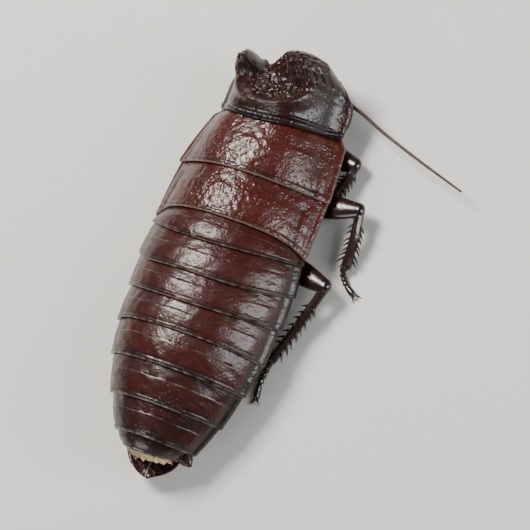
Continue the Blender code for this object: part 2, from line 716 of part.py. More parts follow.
def build_feeler(label, head):
    path = smooth_path(FEELERS[label], FEELER_STEPS)
    t = np.linspace(0, 1, FEELER_STEPS)
    radii = FEELER_RADIUS + (FEELER_TIP_RADIUS - FEELER_RADIUS) * t**FEELER_TAPER
    radii = radii + (SCAPE_RADIUS - FEELER_RADIUS) * np.exp(-((t / SCAPE_REACH) ** 2))
    feeler = tube("antenna_" + label, path, radii, radii, 5)
    clear_of(feeler, head)
    paint(feeler, BELLY_BROWN, 0.34)


def spine(root, direction, length, radius):
    """A slim tapered spike of five sides."""
    direction = np.array(direction, float)
    direction /= np.linalg.norm(direction)
    up = (0.0, 0.0, 1.0) if abs(direction[2]) < 0.9 else (1.0, 0.0, 0.0)
    side = np.cross(direction, up)
    side /= np.linalg.norm(side)
    lift = np.cross(side, direction)
    root, tip = np.array(root, float), np.array(root, float) + direction * length
    angles = np.arange(5) * 2 * math.pi / 5
    points = [root + (side * math.cos(a) + lift * math.sin(a)) * radius for a in angles] + [tip]
    faces = [(i, (i + 1) % 5, 5) for i in range(5)] + [(4, 3, 2, 1, 0)]
    return mesh_object("spine", points, faces)


def tibia_spines(leg, knee, ankle, seed):
    """Two rows of spines along the tibia, longest near its end."""
    draw = random.Random(seed)
    knee, ankle = np.array(knee, float), np.array(ankle, float)
    along = (ankle - knee) / np.linalg.norm(ankle - knee)
    outward = np.cross(along, (0.0, 0.0, 1.0))
    outward /= np.linalg.norm(outward)
    count = SPINES_PER_ROW[leg.split("_")[0]]
    spines = []
    first, last = SPINE_SPAN
    for row, turn in SPINE_ROWS:
        for k in range(count):
            t = first + (last - first) * (k + SPINE_SCATTER * draw.random()) / (count - 1)
            place = knee + (ankle - knee) * t
            aim = outward * row + np.array((0.0, 0.0, turn)) + along * SPINE_SLANT
            long = SPINE_LENGTH * (SPINE_SHORTEST + SPINE_GROWTH * t)
            long *= 1 + SPINE_SPREAD * (draw.random() - 0.5)
            spines.append(spine(place, aim, long, SPINE_RADIUS))
    return spines


def build_leg(leg):
    root, hip, knee, ankle, foot = LEGS[leg]
    side = -1 if leg.endswith("r") else 1
    coxa = tube("coxa_" + leg, smooth_path([root, np.add(root, hip) / 2, hip], 6),
                np.array(COXA_WIDTHS) * COXA_SIZE[0], np.array(COXA_HEIGHTS) * COXA_SIZE[1], 8)
    middle = np.add(hip, knee) / 2 + np.array([0.0, 0.0, FEMUR_ARCH])
    femur = tube("femur_" + leg, smooth_path([hip, middle, knee], 8),
                 np.array(FEMUR_WIDTHS) * FEMUR_SIZE[0], np.array(FEMUR_HEIGHTS) * FEMUR_SIZE[1], 8)
    # EXACT leaves some of these bent joints uncut
    clear_of(femur, coxa, solver="MANIFOLD")
    knee_start = np.array(knee, float)
    reach = np.array(ankle, float) - knee_start
    bend = knee_start + reach / 2 + np.array(TIBIA_BOW) * (side, 1, 1)
    radii = np.array(TIBIA_WIDTHS) * TIBIA_RADIUS
    tibia = tube("tibia_" + leg, smooth_path([knee_start, bend, ankle], 7), radii, radii, 8)
    clear_of(tibia, femur, solver="MANIFOLD")
    tarsus = build_tarsus(leg, ankle, foot, tibia)
    seed = sorted(LEGS).index(leg)
    boolean(tibia, tibia_spines(leg, knee, ankle, seed), "UNION", "MANIFOLD")
    for item in (coxa, femur, tibia, tarsus):
        paint(item, LEG_BLACK, 0.25)
    return coxa, femur, tibia, tarsus


def build_tarsus(leg, ankle, foot, tibia):
    """Five small joints ending in two claws, with a flat sole on the floor."""
    count = 2 * TARSAL_BEADS + 1
    path = smooth_path([ankle] + list(foot), count)
    t = np.linspace(0, TARSAL_BEADS, count)
    radii = TARSUS_RADIUS * (TARSUS_WAIST + TARSUS_SWELL * np.abs(np.sin(math.pi * t)))
    tarsus = tube("tarsus_" + leg, path, radii, radii, 6)
    clear_of(tarsus, tibia, solver="MANIFOLD")
    tip, before = path[-1], path[-2]
    along = (tip - before) / np.linalg.norm(tip - before)
    side = np.cross(along, (0.0, 0.0, 1.0))
    root = tip - along * CLAW_INSET
    claws = []
    for s in (-1, 1):
        aim = along + side * s * CLAW_SPREAD + np.array((0.0, 0.0, CLAW_DROP))
        claws.append(spine(root + side * s * CLAW_OFFSET, aim, CLAW_LENGTH, CLAW_RADIUS))
    boolean(tarsus, claws, "UNION", "MANIFOLD")
    for vert in tarsus.data.vertices:
        vert.co.z = max(vert.co.z, 0.0)
    return tarsus


def build():
    clear_scene()
    shield, plates = lay_out(COLUMNS)
    fine = np.linspace(-MARGIN_ANGLE, MARGIN_ANGLE, SHIELD_COLUMNS + 1)
    pronotum = build_shield(Shield(fine))
    before = shield
    for plate in plates:
        build_plate(plate, before)
        before = plate
    shield, plates = lay_out(CORE_COLUMNS, CORE_REACH)
    thorax = build_core("thorax_underside", shield, plates, "pronotum", "metanotum",
                        THORAX_BELLY_Z, 2.0, BELLY_BROWN)
    abdomen = build_core("abdomen_underside", shield, plates, "tergite_1", "tergite_7",
                         BELLY_Z, 3.0, BELLY_BROWN)
    clear_of(abdomen, thorax, *build_tail(bpy.data.objects["supra_anal_plate"]), solver="MANIFOLD")
    head, eyes = build_head()
    clear_of(pronotum, head, *eyes, solver="MANIFOLD")
    clear_of(thorax, head)
    build_mouth(head)
    for label in FEELERS:
        build_feeler(label, head)
    for leg in LEGS:
        coxa, femur = build_leg(leg)[:2]
        clear_of(thorax, coxa, femur, solver="MANIFOLD")
        if leg.startswith("hind"):
            clear_of(abdomen, coxa, femur, solver="MANIFOLD")


build()
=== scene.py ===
"""The looks of a Madagascar hissing cockroach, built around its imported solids.

The animal faces -Y, its right side is at -X and +Z is up. Sizes are in millimetres, as in the part's own
source, and turn into metres where a mesh is made. Y grows from the head to the tail.
"""

import math

import bpy
import numpy as np
from mathutils import Matrix, Vector


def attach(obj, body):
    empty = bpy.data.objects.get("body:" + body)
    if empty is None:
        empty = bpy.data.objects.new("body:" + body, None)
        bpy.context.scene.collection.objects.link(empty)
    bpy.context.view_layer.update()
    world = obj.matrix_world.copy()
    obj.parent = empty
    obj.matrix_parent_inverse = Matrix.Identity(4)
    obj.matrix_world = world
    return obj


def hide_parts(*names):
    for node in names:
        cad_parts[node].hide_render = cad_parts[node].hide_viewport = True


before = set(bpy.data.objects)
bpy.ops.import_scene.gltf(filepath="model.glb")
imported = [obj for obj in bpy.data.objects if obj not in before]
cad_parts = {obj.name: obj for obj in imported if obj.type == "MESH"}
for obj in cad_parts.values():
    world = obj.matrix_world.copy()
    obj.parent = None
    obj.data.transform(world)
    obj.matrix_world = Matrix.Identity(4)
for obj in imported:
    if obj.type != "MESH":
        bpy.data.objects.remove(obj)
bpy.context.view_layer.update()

MM = 0.001

# Clearances and lapping of the back plates, as in the solids
GAP = 0.3
LIP = 0.5
LAP = 1.2
PLATE_STEP = LIP + GAP
FINE_LIP = 0.32
FINE_STEP = 0.46
ORIGIN_X = -8.20
ORIGIN_Y = 33.27
MARGIN_ANGLE = math.radians(66.0)
RIM_LIFT = 0.3

# Hind edge of each back plate: how far back it lies on the midline, half its width, the height of its
# side margin, its rise over that, how far its corners sweep back, how sharply, and how flat its margin is
HIND_EDGES = {
    "pronotum": (12.0, 10.2, 3.6, 8.3, -1.9, 2, 0.80),
    "mesonotum": (20.1, 12.8, 4.8, 7.7, -0.2, 4, 0.55),
    "metanotum": (27.4, 12.8, 5.5, 7.5, 1.5, 6, 0.35),
    "tergite_1": (31.6, 13.0, 5.6, 7.8, -1.6, 2, 0.10),
    "tergite_2": (36.5, 13.35, 5.3, 8.4, -1.8, 4, 0.0),
    "tergite_3": (40.9, 13.05, 5.2, 8.6, -0.9, 2, 0.0),
    "tergite_4": (45.1, 12.65, 5.3, 8.3, 0.4, 4, 0.0),
    "tergite_5": (50.45, 11.5, 5.3, 7.5, 0.1, 4, 0.0),
    "tergite_6": (55.9, 9.6, 4.8, 6.8, 0.0, 4, 0.0),
    "tergite_7": (60.7, 6.9, 4.2, 5.8, 0.0, 4, 0.0),
    "supra_anal_plate": (62.9, 4.7, 4.5, 3.9, -0.6, 2, 0.0),
}
PLATE_NAMES = list(HIND_EDGES)[1:]
THORAX_PLATES = ("mesonotum", "metanotum")
# How much darker the last plates get
TAIL_SHADE = {"tergite_5": 0.10, "tergite_6": 0.28, "tergite_7": 0.50, "supra_anal_plate": 0.75}
# How far the sides of a plate bulge out behind the plate before it
SIDE_SWELL = {"mesonotum": 0.11}
SWELL_START = 0.15

# Pronotum
SHIELD_FRONT = 0.9
SHIELD_FRONT_SWEEP = 1.3
# The notch in its front edge: depth, then place and reach as shares of half the width
SHIELD_NOTCH = (1.9, 0.44, 0.22)
SHIELD_FRONT_Z = 7.6
SHIELD_WIDEST = 10.3
SHIELD_MARGIN_RISE = 1.5
SHIELD_SHOULDER = 3.6
PLATE_SHOULDER = 2.3
SHIELD_WIDEST_AT = 0.62
SHIELD_FRONT_NARROWING = 0.29
SHIELD_THICKNESS = 2.4
SHIELD_RIM_THICKNESS = 0.8
# The shield is tipped a little, right side up, and set to the right, most of all at its front
SHIELD_ROLL = math.radians(4.2)
SHIELD_ROLL_Z = 8.0
SHIELD_SHIFT = -0.35
# Each horn: where its middle is, how far it reaches across and along, and its height over the shield
HORNS = {"r": (-4.9, 3.0, 5.0, 2.2, 3.5), "l": (6.5, 4.1, 1.8, 2.0, 3.4)}
HORN_LEAN = 0.36
HORN_EDGE = 0.16
HORN_STEEPNESS = 1.9
# The dip between the horns: depth, middle, and how far it reaches across and along
SADDLE = (0.5, 3.3, 3.2, 1.6, 1.7)
# Share of the shield's length in which horns and dip grow from its front edge
FRONT_FADE = 0.06
# The ridge round the basin
RING_CENTRE = (-0.2, 5.9)
RING_RADII = (6.1, 3.8)
RING_HEIGHT = 1.0
RING_WIDTH = 0.18
BASIN_DEPTH = 1.8
KNOBS = ((1.9, 7.3), (-3.4, 7.2))
KNOB_SIZE = (1.5, 0.8, 0.75)

# Underside and tail
BELLY_Z = 2.4
THORAX_BELLY_Z = 3.3
CORE_FRONT = 0.45
CORE_REACH = 0.88
CORE_END = 0.93
STERNITE_STEP = 0.35
TAIL_PLATE = ((57.5, 5.6, 3.1), (60.5, 4.6, 3.0), (63.2, 4.1, 3.1), (64.8, 2.9, 3.3), (65.8, 1.3, 3.4))
TAIL_PLATE_THICKNESS = 0.8
CERCI = {
    "r": ((-4.6, 60.7, 4.1), (-5.6, 61.5, 4.2), (-6.6, 62.2, 4.2)),
    "l": ((5.0, 60.5, 3.7), (5.0, 61.3, 3.65), (4.8, 62.1, 3.6)),
}

# Head
HEAD_CENTRE = (0.0, 3.9, 4.2)
HEAD_RADII = (3.2, 2.2, 2.7)
EYE_CENTRE = (2.75, 3.55, 5.4)
EYE_RADII = (0.85, 1.15, 1.35)
OCELLUS_CENTRE = (1.55, 2.03, 5.75)
OCELLUS_RADII = (0.34, 0.16, 0.26)
SOCKET_RADII = (0.70, 0.74, 0.76, 0.76, 0.72, 0.62)
SIDES = ((-1, "r"), (1, "l"))

# Mouth: the labrum, and the left jaw and palps, which the right ones mirror
LABRUM = ((0.0, 2.35, 3.2), (0.0, 2.3, 2.4), (0.0, 2.55, 1.7))
LABRUM_WIDTHS = (1.2, 1.35, 1.2, 0.8)
LABRUM_THICKNESS = 0.4
JAW = ((1.5, 3.8, 2.3), (1.15, 3.7, 1.7), (0.6, 3.6, 1.2))
JAW_WIDTHS = (0.65, 0.6, 0.5, 0.3)
JAW_HEIGHTS = (0.65, 0.6, 0.5, 0.35)
JAW_TEETH = 3
# Each palp: its line, where its joints are, its widest and narrowest radius, and its rings and their sides
PALPS = {
    "maxillary": (((2.2, 4.0, 2.9), (2.9, 3.6, 2.2), (3.1, 2.4, 1.7), (2.4, 1.4, 1.2), (1.9, 1.0, 0.7)),
                  (0.0, 0.10, 0.22, 0.48, 0.74, 1.0), 0.34, 0.2, 110, 18),
    "labial": (((0.9, 5.1, 2.4), (1.6, 5.3, 1.5), (2.0, 4.6, 0.8)), (0.0, 0.28, 0.6, 1.0), 0.3, 0.18, 70, 16),
}

# Legs: root of the coxa, its end, the knee, the ankle, then the tarsus to the claws
LEGS = {
    "front_r": ((-2.5, 8.3, 3.1), (-6.6, 12.3, 1.9), (-13.5, 13.0, 2.3), (-11.6, 17.4, 1.2),
                ((-11.2, 18.4, 0.8), (-10.4, 20.0, 0.34), (-9.9, 21.3, 0.3))),
    "front_l": ((2.5, 8.3, 3.1), (5.2, 12.6, 1.9), (8.2, 11.5, 1.6), (7.5, 6.8, 1.2),
                ((7.3, 5.7, 0.8), (6.9, 4.1, 0.34), (6.3, 2.9, 0.3))),
    "mid_r": ((-2.7, 16.2, 3.1), (-7.8, 20.6, 2.0), (-17.1, 19.4, 3.3), (-17.2, 27.2, 1.2),
              ((-16.9, 28.4, 0.8), (-17.9, 29.9, 0.34), (-19.6, 31.1, 0.3))),
    "mid_l": ((2.7, 16.2, 3.1), (7.6, 20.4, 2.0), (12.2, 20.6, 2.4), (11.6, 27.0, 1.2),
              ((11.5, 28.1, 0.8), (11.9, 29.8, 0.34), (12.6, 31.1, 0.3))),
    "hind_r": ((-2.8, 24.0, 3.1), (-7.4, 29.6, 2.3), (-16.5, 31.6, 3.7), (-11.4, 43.4, 1.2),
               ((-11.0, 44.8, 0.8), (-10.5, 47.4, 0.34), (-10.8, 49.8, 0.3))),
    "hind_l": ((2.8, 24.0, 3.1), (7.2, 29.6, 2.3), (12.8, 32.8, 3.2), (11.2, 43.2, 1.2),
               ((11.0, 44.6, 0.8), (10.7, 47.0, 0.34), (10.9, 49.4, 0.3))),
}
COXA_SIZE = (2.5, 1.25)
FEMUR_SIZE = (1.75, 0.86)
TIBIA_RADIUS = 0.72
TARSUS_RADIUS = 0.46
# How wide and high each joint of a leg is along its length, as shares of its size
COXA_WIDTHS = (0.8, 1.0, 1.0, 0.95, 0.8, 0.6)
COXA_HEIGHTS = (1.0, 1.0, 1.0, 0.95, 0.85, 0.75)
FEMUR_WIDTHS = (0.62, 0.85, 1.0, 1.0, 0.95, 0.85, 0.72, 0.6)
FEMUR_HEIGHTS = (0.8, 0.95, 1.0, 1.0, 1.0, 0.95, 0.9, 0.9)
TIBIA_WIDTHS = (1.05, 0.92, 1.0, 1.04, 1.0, 1.0, 1.12)
SPINES_PER_ROW = {"front": 5, "mid": 7, "hind": 8}
SPINE_LENGTH = 1.9
SPINE_RADIUS = 0.2
# Each row of spines on a tibia: its side, and how far up it points
SPINE_ROWS = ((1, 0.25), (-1, 0.25), (1, -0.7), (-1, -0.7))
# Directions round the ankle in which its spurs stand
SPUR_TURNS = (-2.2, -0.9, 0.35, 1.6, 2.8)
# Places along a spine, and its radius there as a share of its own
SPIKE_PLACES = (-0.12, 0.0, 0.05, 0.12, 0.3, 0.5, 0.7, 0.86, 0.96, 1.0)
SPIKE_TAPER = (1.0, 0.86, 0.68, 0.48, 0.28, 0.12, 0.04)
BRISTLE_RADII = (0.022, 0.016, 0.004)
CLAW_LENGTH = 1.3
# Where the joints of a tarsus are along it
TARSOMERES = (0.0, 0.34, 0.46, 0.57, 0.67, 1.0)
PAD_RADII = (0.30, 0.34, 0.14)
TOE_PAD_RADII = (0.28, 0.28, 0.2)

# Feelers, as points from the face to the tip
FEELERS = {
    "r": ((-1.75, 1.95, 5.3), (-2.6, 1.35, 5.0), (-4.6, 1.35, 4.5), (-7.3, 2.8, 3.9),
          (-9.8, 4.65, 3.7), (-12.4, 5.7, 3.9), (-16.9, 7.7, 4.2), (-23.3, 10.1, 4.0),
          (-30.9, 12.7, 3.3)),
    "l": ((1.75, 1.95, 5.3), (2.5, 1.45, 4.7), (4.3, 1.8, 3.7), (6.7, 3.0, 2.8),
          (9.0, 5.6, 1.9), (10.3, 9.5, 1.3), (11.4, 14.5, 1.2), (13.3, 20.0, 1.2),
          (14.3, 26.5, 1.1), (14.5, 32.0, 1.0)),
}
FEELER_RADIUS = 0.36
FEELER_TIP_RADIUS = 0.2
FEELER_JOINTS = 120
FEELER_STEPS = 5
SCAPE_RADIUS = 0.55
# Where the scape and the pedicel end along the feeler
SCAPE_END = 0.060
PEDICEL_END = 0.080

# Camera: where it stands, the way it looks and its lens, worked out from the photograph
CAMERA_PLACE = (-168.5, 80.3, 323.5)
CAMERA_BACK = (-0.4486, 0.1359, 0.8834)
CAMERA_RIGHT = (-0.8545, -0.3547, -0.3794)
CAMERA_LENS = 169.0

# How fine the meshes are
PLATE_COLUMNS = 150
PLATE_ROWS = 44
SHIELD_COLUMNS = 230
SHIELD_ROWS = 130
CORE_COLUMNS = 90
CORE_ROWS = 12
MEMBRANE_COLUMNS = 110
MEMBRANE_ROWS = 16
TAIL_COLUMNS = 70
TAIL_ROWS = 46
CERCUS_RINGS = 60
COXA_RINGS = 44
FEMUR_RINGS = 60
TIBIA_RINGS = 70
TARSUS_RINGS = 120

# Colours
MAHOGANY = (0.034, 0.0044, 0.0028)
RED_BROWN = (0.046, 0.0058, 0.0030)
DARK_RED = (0.022, 0.0034, 0.0024)
DARK = (0.0050, 0.0022, 0.0024)
PITCH = (0.0070, 0.0026, 0.0026)
LEG_BLACK = (0.0045, 0.0032, 0.0036)
LEG_BROWN = (0.018, 0.0060, 0.0042)
BELLY_BROWN = (0.105, 0.032, 0.014)
BELLY_DARK = (0.022, 0.007, 0.005)
CREAM = (0.62, 0.46, 0.27)
PALE = (0.34, 0.22, 0.16)
FEELER_BROWN = (0.045, 0.018, 0.013)
EYE_BROWN = (0.020, 0.011, 0.009)
EYE_BLACK = (0.004, 0.003, 0.003)
STAIN = (0.20, 0.095, 0.038)
FLOOR_COLOUR = (0.62, 0.60, 0.57)
FLOOR_SHADE = (0.5, 0.49, 0.47)
WORLD_COLOUR = (0.9, 0.93, 1.0, 1.0)
WORLD_STRENGTH = 0.17

# Each finish: its light and deep colour, its roughness, its coat, the size and strength of its grain, and
# how strong its pits and its specks of dust are
FINISHES = {
    "pronotum": (DARK_RED, DARK, 0.30, 0.3, 0.15, 0.4, 0.35, 0.25),
    "thorax": (RED_BROWN, PITCH, 0.31, 0.3, 0.15, 0.4, 0.45, 0.35),
    "abdomen": (MAHOGANY, PITCH, 0.33, 0.25, 0.17, 0.45, 0.18, 0.7),
    "head": (RED_BROWN, PITCH, 0.25, 0.6, 0.12, 0.25, 0.0, 0.1),
    "leg": (LEG_BROWN, LEG_BLACK, 0.22, 0.7, 0.12, 0.3, 0.12, 0.1),
    "belly": (BELLY_BROWN, BELLY_DARK, 0.32, 0.4, 0.2, 0.4, 0.0, 0.2),
    "palp": (BELLY_BROWN, BELLY_DARK, 0.32, 0.4, 0.1, 0.3, 0.0, 0.0),
    "feeler": (FEELER_BROWN, LEG_BLACK, 0.38, 0.3, 0.1, 0.3, 0.0, 0.0),
    "pad": (PALE, BELLY_BROWN, 0.5, 0.0, 0.1, 0.5, 0.0, 0.0),
}

# Each lamp: its direction from the animal, its distance, its size, its power and its colour
SOFTBOXES = {
    "key": ((0.45, -0.30, 0.85), 0.32, (0.11, 0.11), 1.8, (1.0, 0.96, 0.91)),
    "side": ((-0.86, -0.14, 0.42), 0.32, (0.12, 0.20), 1.0, (0.93, 0.97, 1.0)),
    "back": ((0.25, 0.85, 0.45), 0.36, (0.22, 0.12), 0.5, (1.0, 1.0, 1.0)),
}

UP = np.array([0.0, 0.0, 1.0])


def smooth_step(x, low, high):
    t = np.clip((x - low) / (high - low), 0, 1)
    return t * t * (3 - 2 * t)


def bump(x, centre, width):
    return np.exp(-(((x - centre) / width) ** 2))


def to_unit(vectors):
    """The same directions at length one."""
    vectors = np.asarray(vectors, float)
    return vectors / np.linalg.norm(vectors, axis=-1, keepdims=True)


def mirrored(points, side):
    """Points of the left side, or where they are on the right one."""
    return [(side * x, y, z) for x, y, z in points]


def rough(x, y, scale, seed, waves=9):
    """Smooth unevenness between about -1 and 1, the same in each run."""
    draw = np.random.default_rng(seed)
    total = 0.0
    for _ in range(waves):
        turn, phase = draw.uniform(0, 2 * math.pi, 2)
        k = 2 * math.pi / scale * draw.uniform(0.6, 1.7)
        total = total + np.sin(k * (x * math.cos(turn) + y * math.sin(turn)) + phase)
    return total / math.sqrt(waves)


def smooth_path(points, count):
    """Points evenly spread in parameter along a Catmull-Rom curve through the given ones."""
    given = [np.array(p, float) for p in points]
    ends = [2 * given[0] - given[1]] + given + [2 * given[-1] - given[-2]]
    path = []
    for place in np.linspace(0.0, len(given) - 1.0, count):
        i = min(int(place), len(given) - 2)
        t = place - i
        a, b, c, d = ends[i : i + 4]
        path.append(
            0.5 * (2 * b + (c - a) * t + (2 * a - 5 * b + 4 * c - d) * t**2
                   + (3 * b - a - 3 * c + d) * t**3)
        )
    return np.array(path)


def profile(values, count):
    """A smooth run of sizes through the given ones."""
    return smooth_path([(v,) for v in values], count)[:, 0]


class Shape:
    """Points, faces and painted marks that add up to one piece."""

    def __init__(self):
        self.points = []
        self.faces = []
        self.marks = {"dark": [], "pale": []}
        self.size = 0

    def add(self, points, faces, dark=0.0, pale=0.0):
        points = np.asarray(points, float).reshape(-1, 3)
        self.points.append(points)
        self.faces += [tuple(i + self.size for i in face) for face in faces]
        for name, value in (("dark", dark), ("pale", pale)):
            self.marks[name].append(np.broadcast_to(np.asarray(value, float), len(points)))
        self.size += len(points)

    def keep_over(self, height):
        """Lifts each point that is lower than the height up to it."""
        for part in self.points:
            part[:, 2] = np.maximum(part[:, 2], height)

    def piece(self, name, material, slot, *nodes):
        """Makes the object, which stands for the named solids."""
        points = np.concatenate(self.points)
        moved = (points - np.array([ORIGIN_X, ORIGIN_Y, 0.0])) * MM
        mesh = bpy.data.meshes.new(name)
        mesh.from_pydata(moved.tolist(), [], self.faces)
        for mark, values in self.marks.items():
            mesh.attributes.new(mark, "FLOAT", "POINT").data.foreach_set("value", np.concatenate(values))
        mesh.shade_smooth()
        mesh.set_sharp_from_angle(angle=math.radians(50.0))
        mesh.materials.append(material)
        item = bpy.data.objects.new(name, mesh)
        bpy.context.scene.collection.objects.link(item)
        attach(item, "root")
        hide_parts(*nodes)
        return item


def sheet_normals(sheet):
    """Outward direction at each point of a sheet whose rows run back and whose columns run to +X."""
    back = np.gradient(sheet, axis=0)
    across = np.gradient(sheet, axis=1)
    normal = np.cross(across, back)
    return normal / np.maximum(np.linalg.norm(normal, axis=-1), 1e-9)[..., None]


def add_shell(shape, top, bottom, dark=0.0, pale=0.0, rim_steps=3):
    """A closed plate between two sheets, with a rounded rim all round."""
    rows, columns = top.shape[:2]
    count = rows * columns
    index = np.arange(count).reshape(rows, columns)
    quads = np.stack([index[:-1, :-1], index[:-1, 1:], index[1:, 1:], index[1:, :-1]], axis=-1)
    upper = quads.reshape(-1, 4)
    lower = upper[:, ::-1] + count
    edge = [(0, c) for c in range(columns)] + [(r, columns - 1) for r in range(1, rows)]
    edge += [(rows - 1, c) for c in range(columns - 2, -1, -1)] + [(r, 0) for r in range(rows - 2, 0, -1)]
    edge = np.array(edge)
    inner = np.stack([np.clip(edge[:, 0], 1, rows - 2), np.clip(edge[:, 1], 1, columns - 2)], axis=1)
    high = top[edge[:, 0], edge[:, 1]]
    low = bottom[edge[:, 0], edge[:, 1]]
    away = high - top[inner[:, 0], inner[:, 1]]
    half = (high - low) / 2
    reach = np.linalg.norm(half, axis=1)[:, None]
    away -= half * (away * half).sum(axis=1)[:, None] / reach**2
    away = to_unit(away)
    centre = (high + low) / 2
    points = [top.reshape(-1, 3), bottom.reshape(-1, 3)]
    rings = [index[edge[:, 0], edge[:, 1]]]
    for k in range(rim_steps):
        turn = math.pi * (k + 1) / (rim_steps + 1)
        points.append(centre + half * math.cos(turn) + away * reach * math.sin(turn))
        rings.append(2 * count + k * len(edge) + np.arange(len(edge)))
    rings.append(rings[0] + count)
    faces = upper.tolist() + lower.tolist()
    for before, after in zip(rings, rings[1:]):
        faces += np.stack([before, after, np.roll(after, -1), np.roll(before, -1)], axis=1).tolist()
    marks = []
    for value in (dark, pale):
        grid = np.broadcast_to(np.asarray(value, float), (rows, columns))
        border = [grid[edge[:, 0], edge[:, 1]]] * rim_steps
        marks.append(np.concatenate([grid.ravel(), grid.ravel()] + border))
    shape.add(np.concatenate(points), faces, *marks)


def add_tube(shape, path, widths, heights, sides=16, up=UP, dark=0.0, pale=0.0,
             ends=(True, True), relief=None):
    """A solid of oval rings along the path, with rounded ends."""
    path = np.asarray(path, float)
    count = len(path)
    widths = np.broadcast_to(np.asarray(widths, float), count)
    heights = np.broadcast_to(np.asarray(heights, float), count)
    ahead = to_unit(np.gradient(path, axis=0))
    side = to_unit(np.cross(ahead, up))
    lift = np.cross(side, ahead)
    angles = np.arange(sides) * 2 * math.pi / sides
    steps = [(i, 0.0, 1.0) for i in range(count)]
    cap = [math.radians(a) for a in (25, 50, 72)]
    if ends[0]:
        steps = [(0, -math.sin(a), math.cos(a)) for a in reversed(cap)] + steps
    if ends[1]:
        steps = steps + [(count - 1, math.sin(a), math.cos(a)) for a in cap]
    rings, darks, pales = [], [], []
    dark = np.broadcast_to(np.asarray(dark, float), count)
    pale = np.broadcast_to(np.asarray(pale, float), count)
    for i, push, shrink in steps:
        centre = path[i] + ahead[i] * push * min(widths[i], heights[i])
        factor = shrink * (1.0 if relief is None else relief(i / (count - 1), angles))
        rings.append(centre + np.outer(np.cos(angles) * widths[i] * factor, side[i])
                     + np.outer(np.sin(angles) * heights[i] * factor, lift[i]))
        darks += [dark[i]] * sides
        pales += [pale[i]] * sides
    last = len(rings) - 1
    faces = []
    for r in range(last):
        for k in range(sides):
            n = (k + 1) % sides
            faces.append((r * sides + k, r * sides + n, (r + 1) * sides + n, (r + 1) * sides + k))
    faces.append(tuple(reversed(range(sides))))
    faces.append(tuple(last * sides + k for k in range(sides)))
    shape.add(np.concatenate(rings), faces, darks, pales)


def add_ball(shape, centre, radii, segments=24, rings=16, lean=0.0, dark=0.0, pale=0.0, form=None):
    """A closed ball stretched to the radii, shaped by the form function if there is one."""
    around = np.arange(segments) * 2 * math.pi / segments
    down = np.linspace(0, math.pi, rings + 1)[1:-1]
    d, a = np.meshgrid(down, around, indexing="ij")
    unit = np.stack([np.sin(d) * np.cos(a), np.sin(d) * np.sin(a), np.cos(d)], axis=-1).reshape(-1, 3)
    unit = np.concatenate([unit, [[0, 0, 1.0], [0, 0, -1.0]]])
    points = unit * np.array(radii)
    if form is not None:
        points = form(unit, points)
    y, z = points[:, 1].copy(), points[:, 2].copy()
    points[:, 1] = y * math.cos(lean) - z * math.sin(lean)
    points[:, 2] = y * math.sin(lean) + z * math.cos(lean)
    faces = []
    rows = rings - 1
    for r in range(rows - 1):
        for k in range(segments):
            n = (k + 1) % segments
            faces.append((r * segments + k, (r + 1) * segments + k, (r + 1) * segments + n, r * segments + n))
    top, low = rows * segments, rows * segments + 1
    for k in range(segments):
        n = (k + 1) % segments
        faces.append((top, k, n))
        faces.append((low, (rows - 1) * segments + n, (rows - 1) * segments + k))
    shape.add(points + np.array(centre), faces, dark, pale)


# Finishes

def new_material(name):
    material = bpy.data.materials.new(name)
    material.use_nodes = True
    return material


def set_inputs(material, target, sockets):
    """Gives each named socket of the target its value, or links another node's output to it."""
    for key, value in sockets.items():
        if isinstance(value, bpy.types.NodeSocket):
            material.node_tree.links.new(value, target.inputs[key])
        else:
            target.inputs[key].default_value = value


def node(material, kind, sockets=None, **settings):
    made = material.node_tree.nodes.new("ShaderNode" + kind)
    for key, value in settings.items():
        setattr(made, key, value)
    set_inputs(material, made, sockets or {})
    return made


def dress(material, sockets):
    set_inputs(material, material.node_tree.nodes["Principled BSDF"], sockets)


def mix(material, factor, first, second):
    """A colour between two, by a factor that may be another node's output."""
    def full(colour):
        return (*colour, 1.0) if isinstance(colour, tuple) else colour
    made = node(material, "Mix", {0: factor, 6: full(first), 7: full(second)}, data_type="RGBA")
    return made.outputs[2]


def maths(material, operation, first, second, clamp=False):
    return node(material, "Math", {0: first, 1: second}, operation=operation, use_clamp=clamp).outputs[0]


def ranged(material, value, low, high, to_low=0.0, to_high=1.0):
    return node(material, "MapRange", {"Value": value, "From Min": low, "From Max": high,
                                       "To Min": to_low, "To Max": to_high}).outputs["Result"]


def noise(material, size_mm, detail=3.0, roughness=0.55, distortion=0.0):
    place = node(material, "TexCoord").outputs["Object"]
    return node(material, "TexNoise", {"Vector": place, "Scale": 1 / (size_mm * MM), "Detail": detail,
                                       "Roughness": roughness, "Distortion": distortion}).outputs["Fac"]


def painted(material, mark):
    """What was painted on the points of a shape under this mark."""
    return node(material, "Attribute", attribute_name=mark).outputs["Fac"]


def cells(material, size_mm, randomness=1.0):
    """Distance from the middles of scattered cells."""
    place = node(material, "TexCoord").outputs["Object"]
    return node(material, "TexVoronoi", {"Vector": place, "Scale": 1 / (size_mm * MM),
                                         "Randomness": randomness}).outputs["Distance"]


def bumped(material, height, strength, depth_mm, below=None, **settings):
    """The surface's direction, bent by the height, on top of the bumps below if there are any."""
    sockets = {"Strength": strength, "Distance": depth_mm * MM, "Height": height}
    if below is not None:
        sockets["Normal"] = below
    return node(material, "Bump", sockets, **settings).outputs[0]


def speck_mask(material, size_mm, share):
    """Small scattered dots, thickest where a broad noise is high."""
    dots = ranged(material, cells(material, size_mm), share, share * 0.6)
    patches = ranged(material, noise(material, 5.0, 4.0), 0.52, 0.66)
    return maths(material, "MULTIPLY", dots, patches, clamp=True)


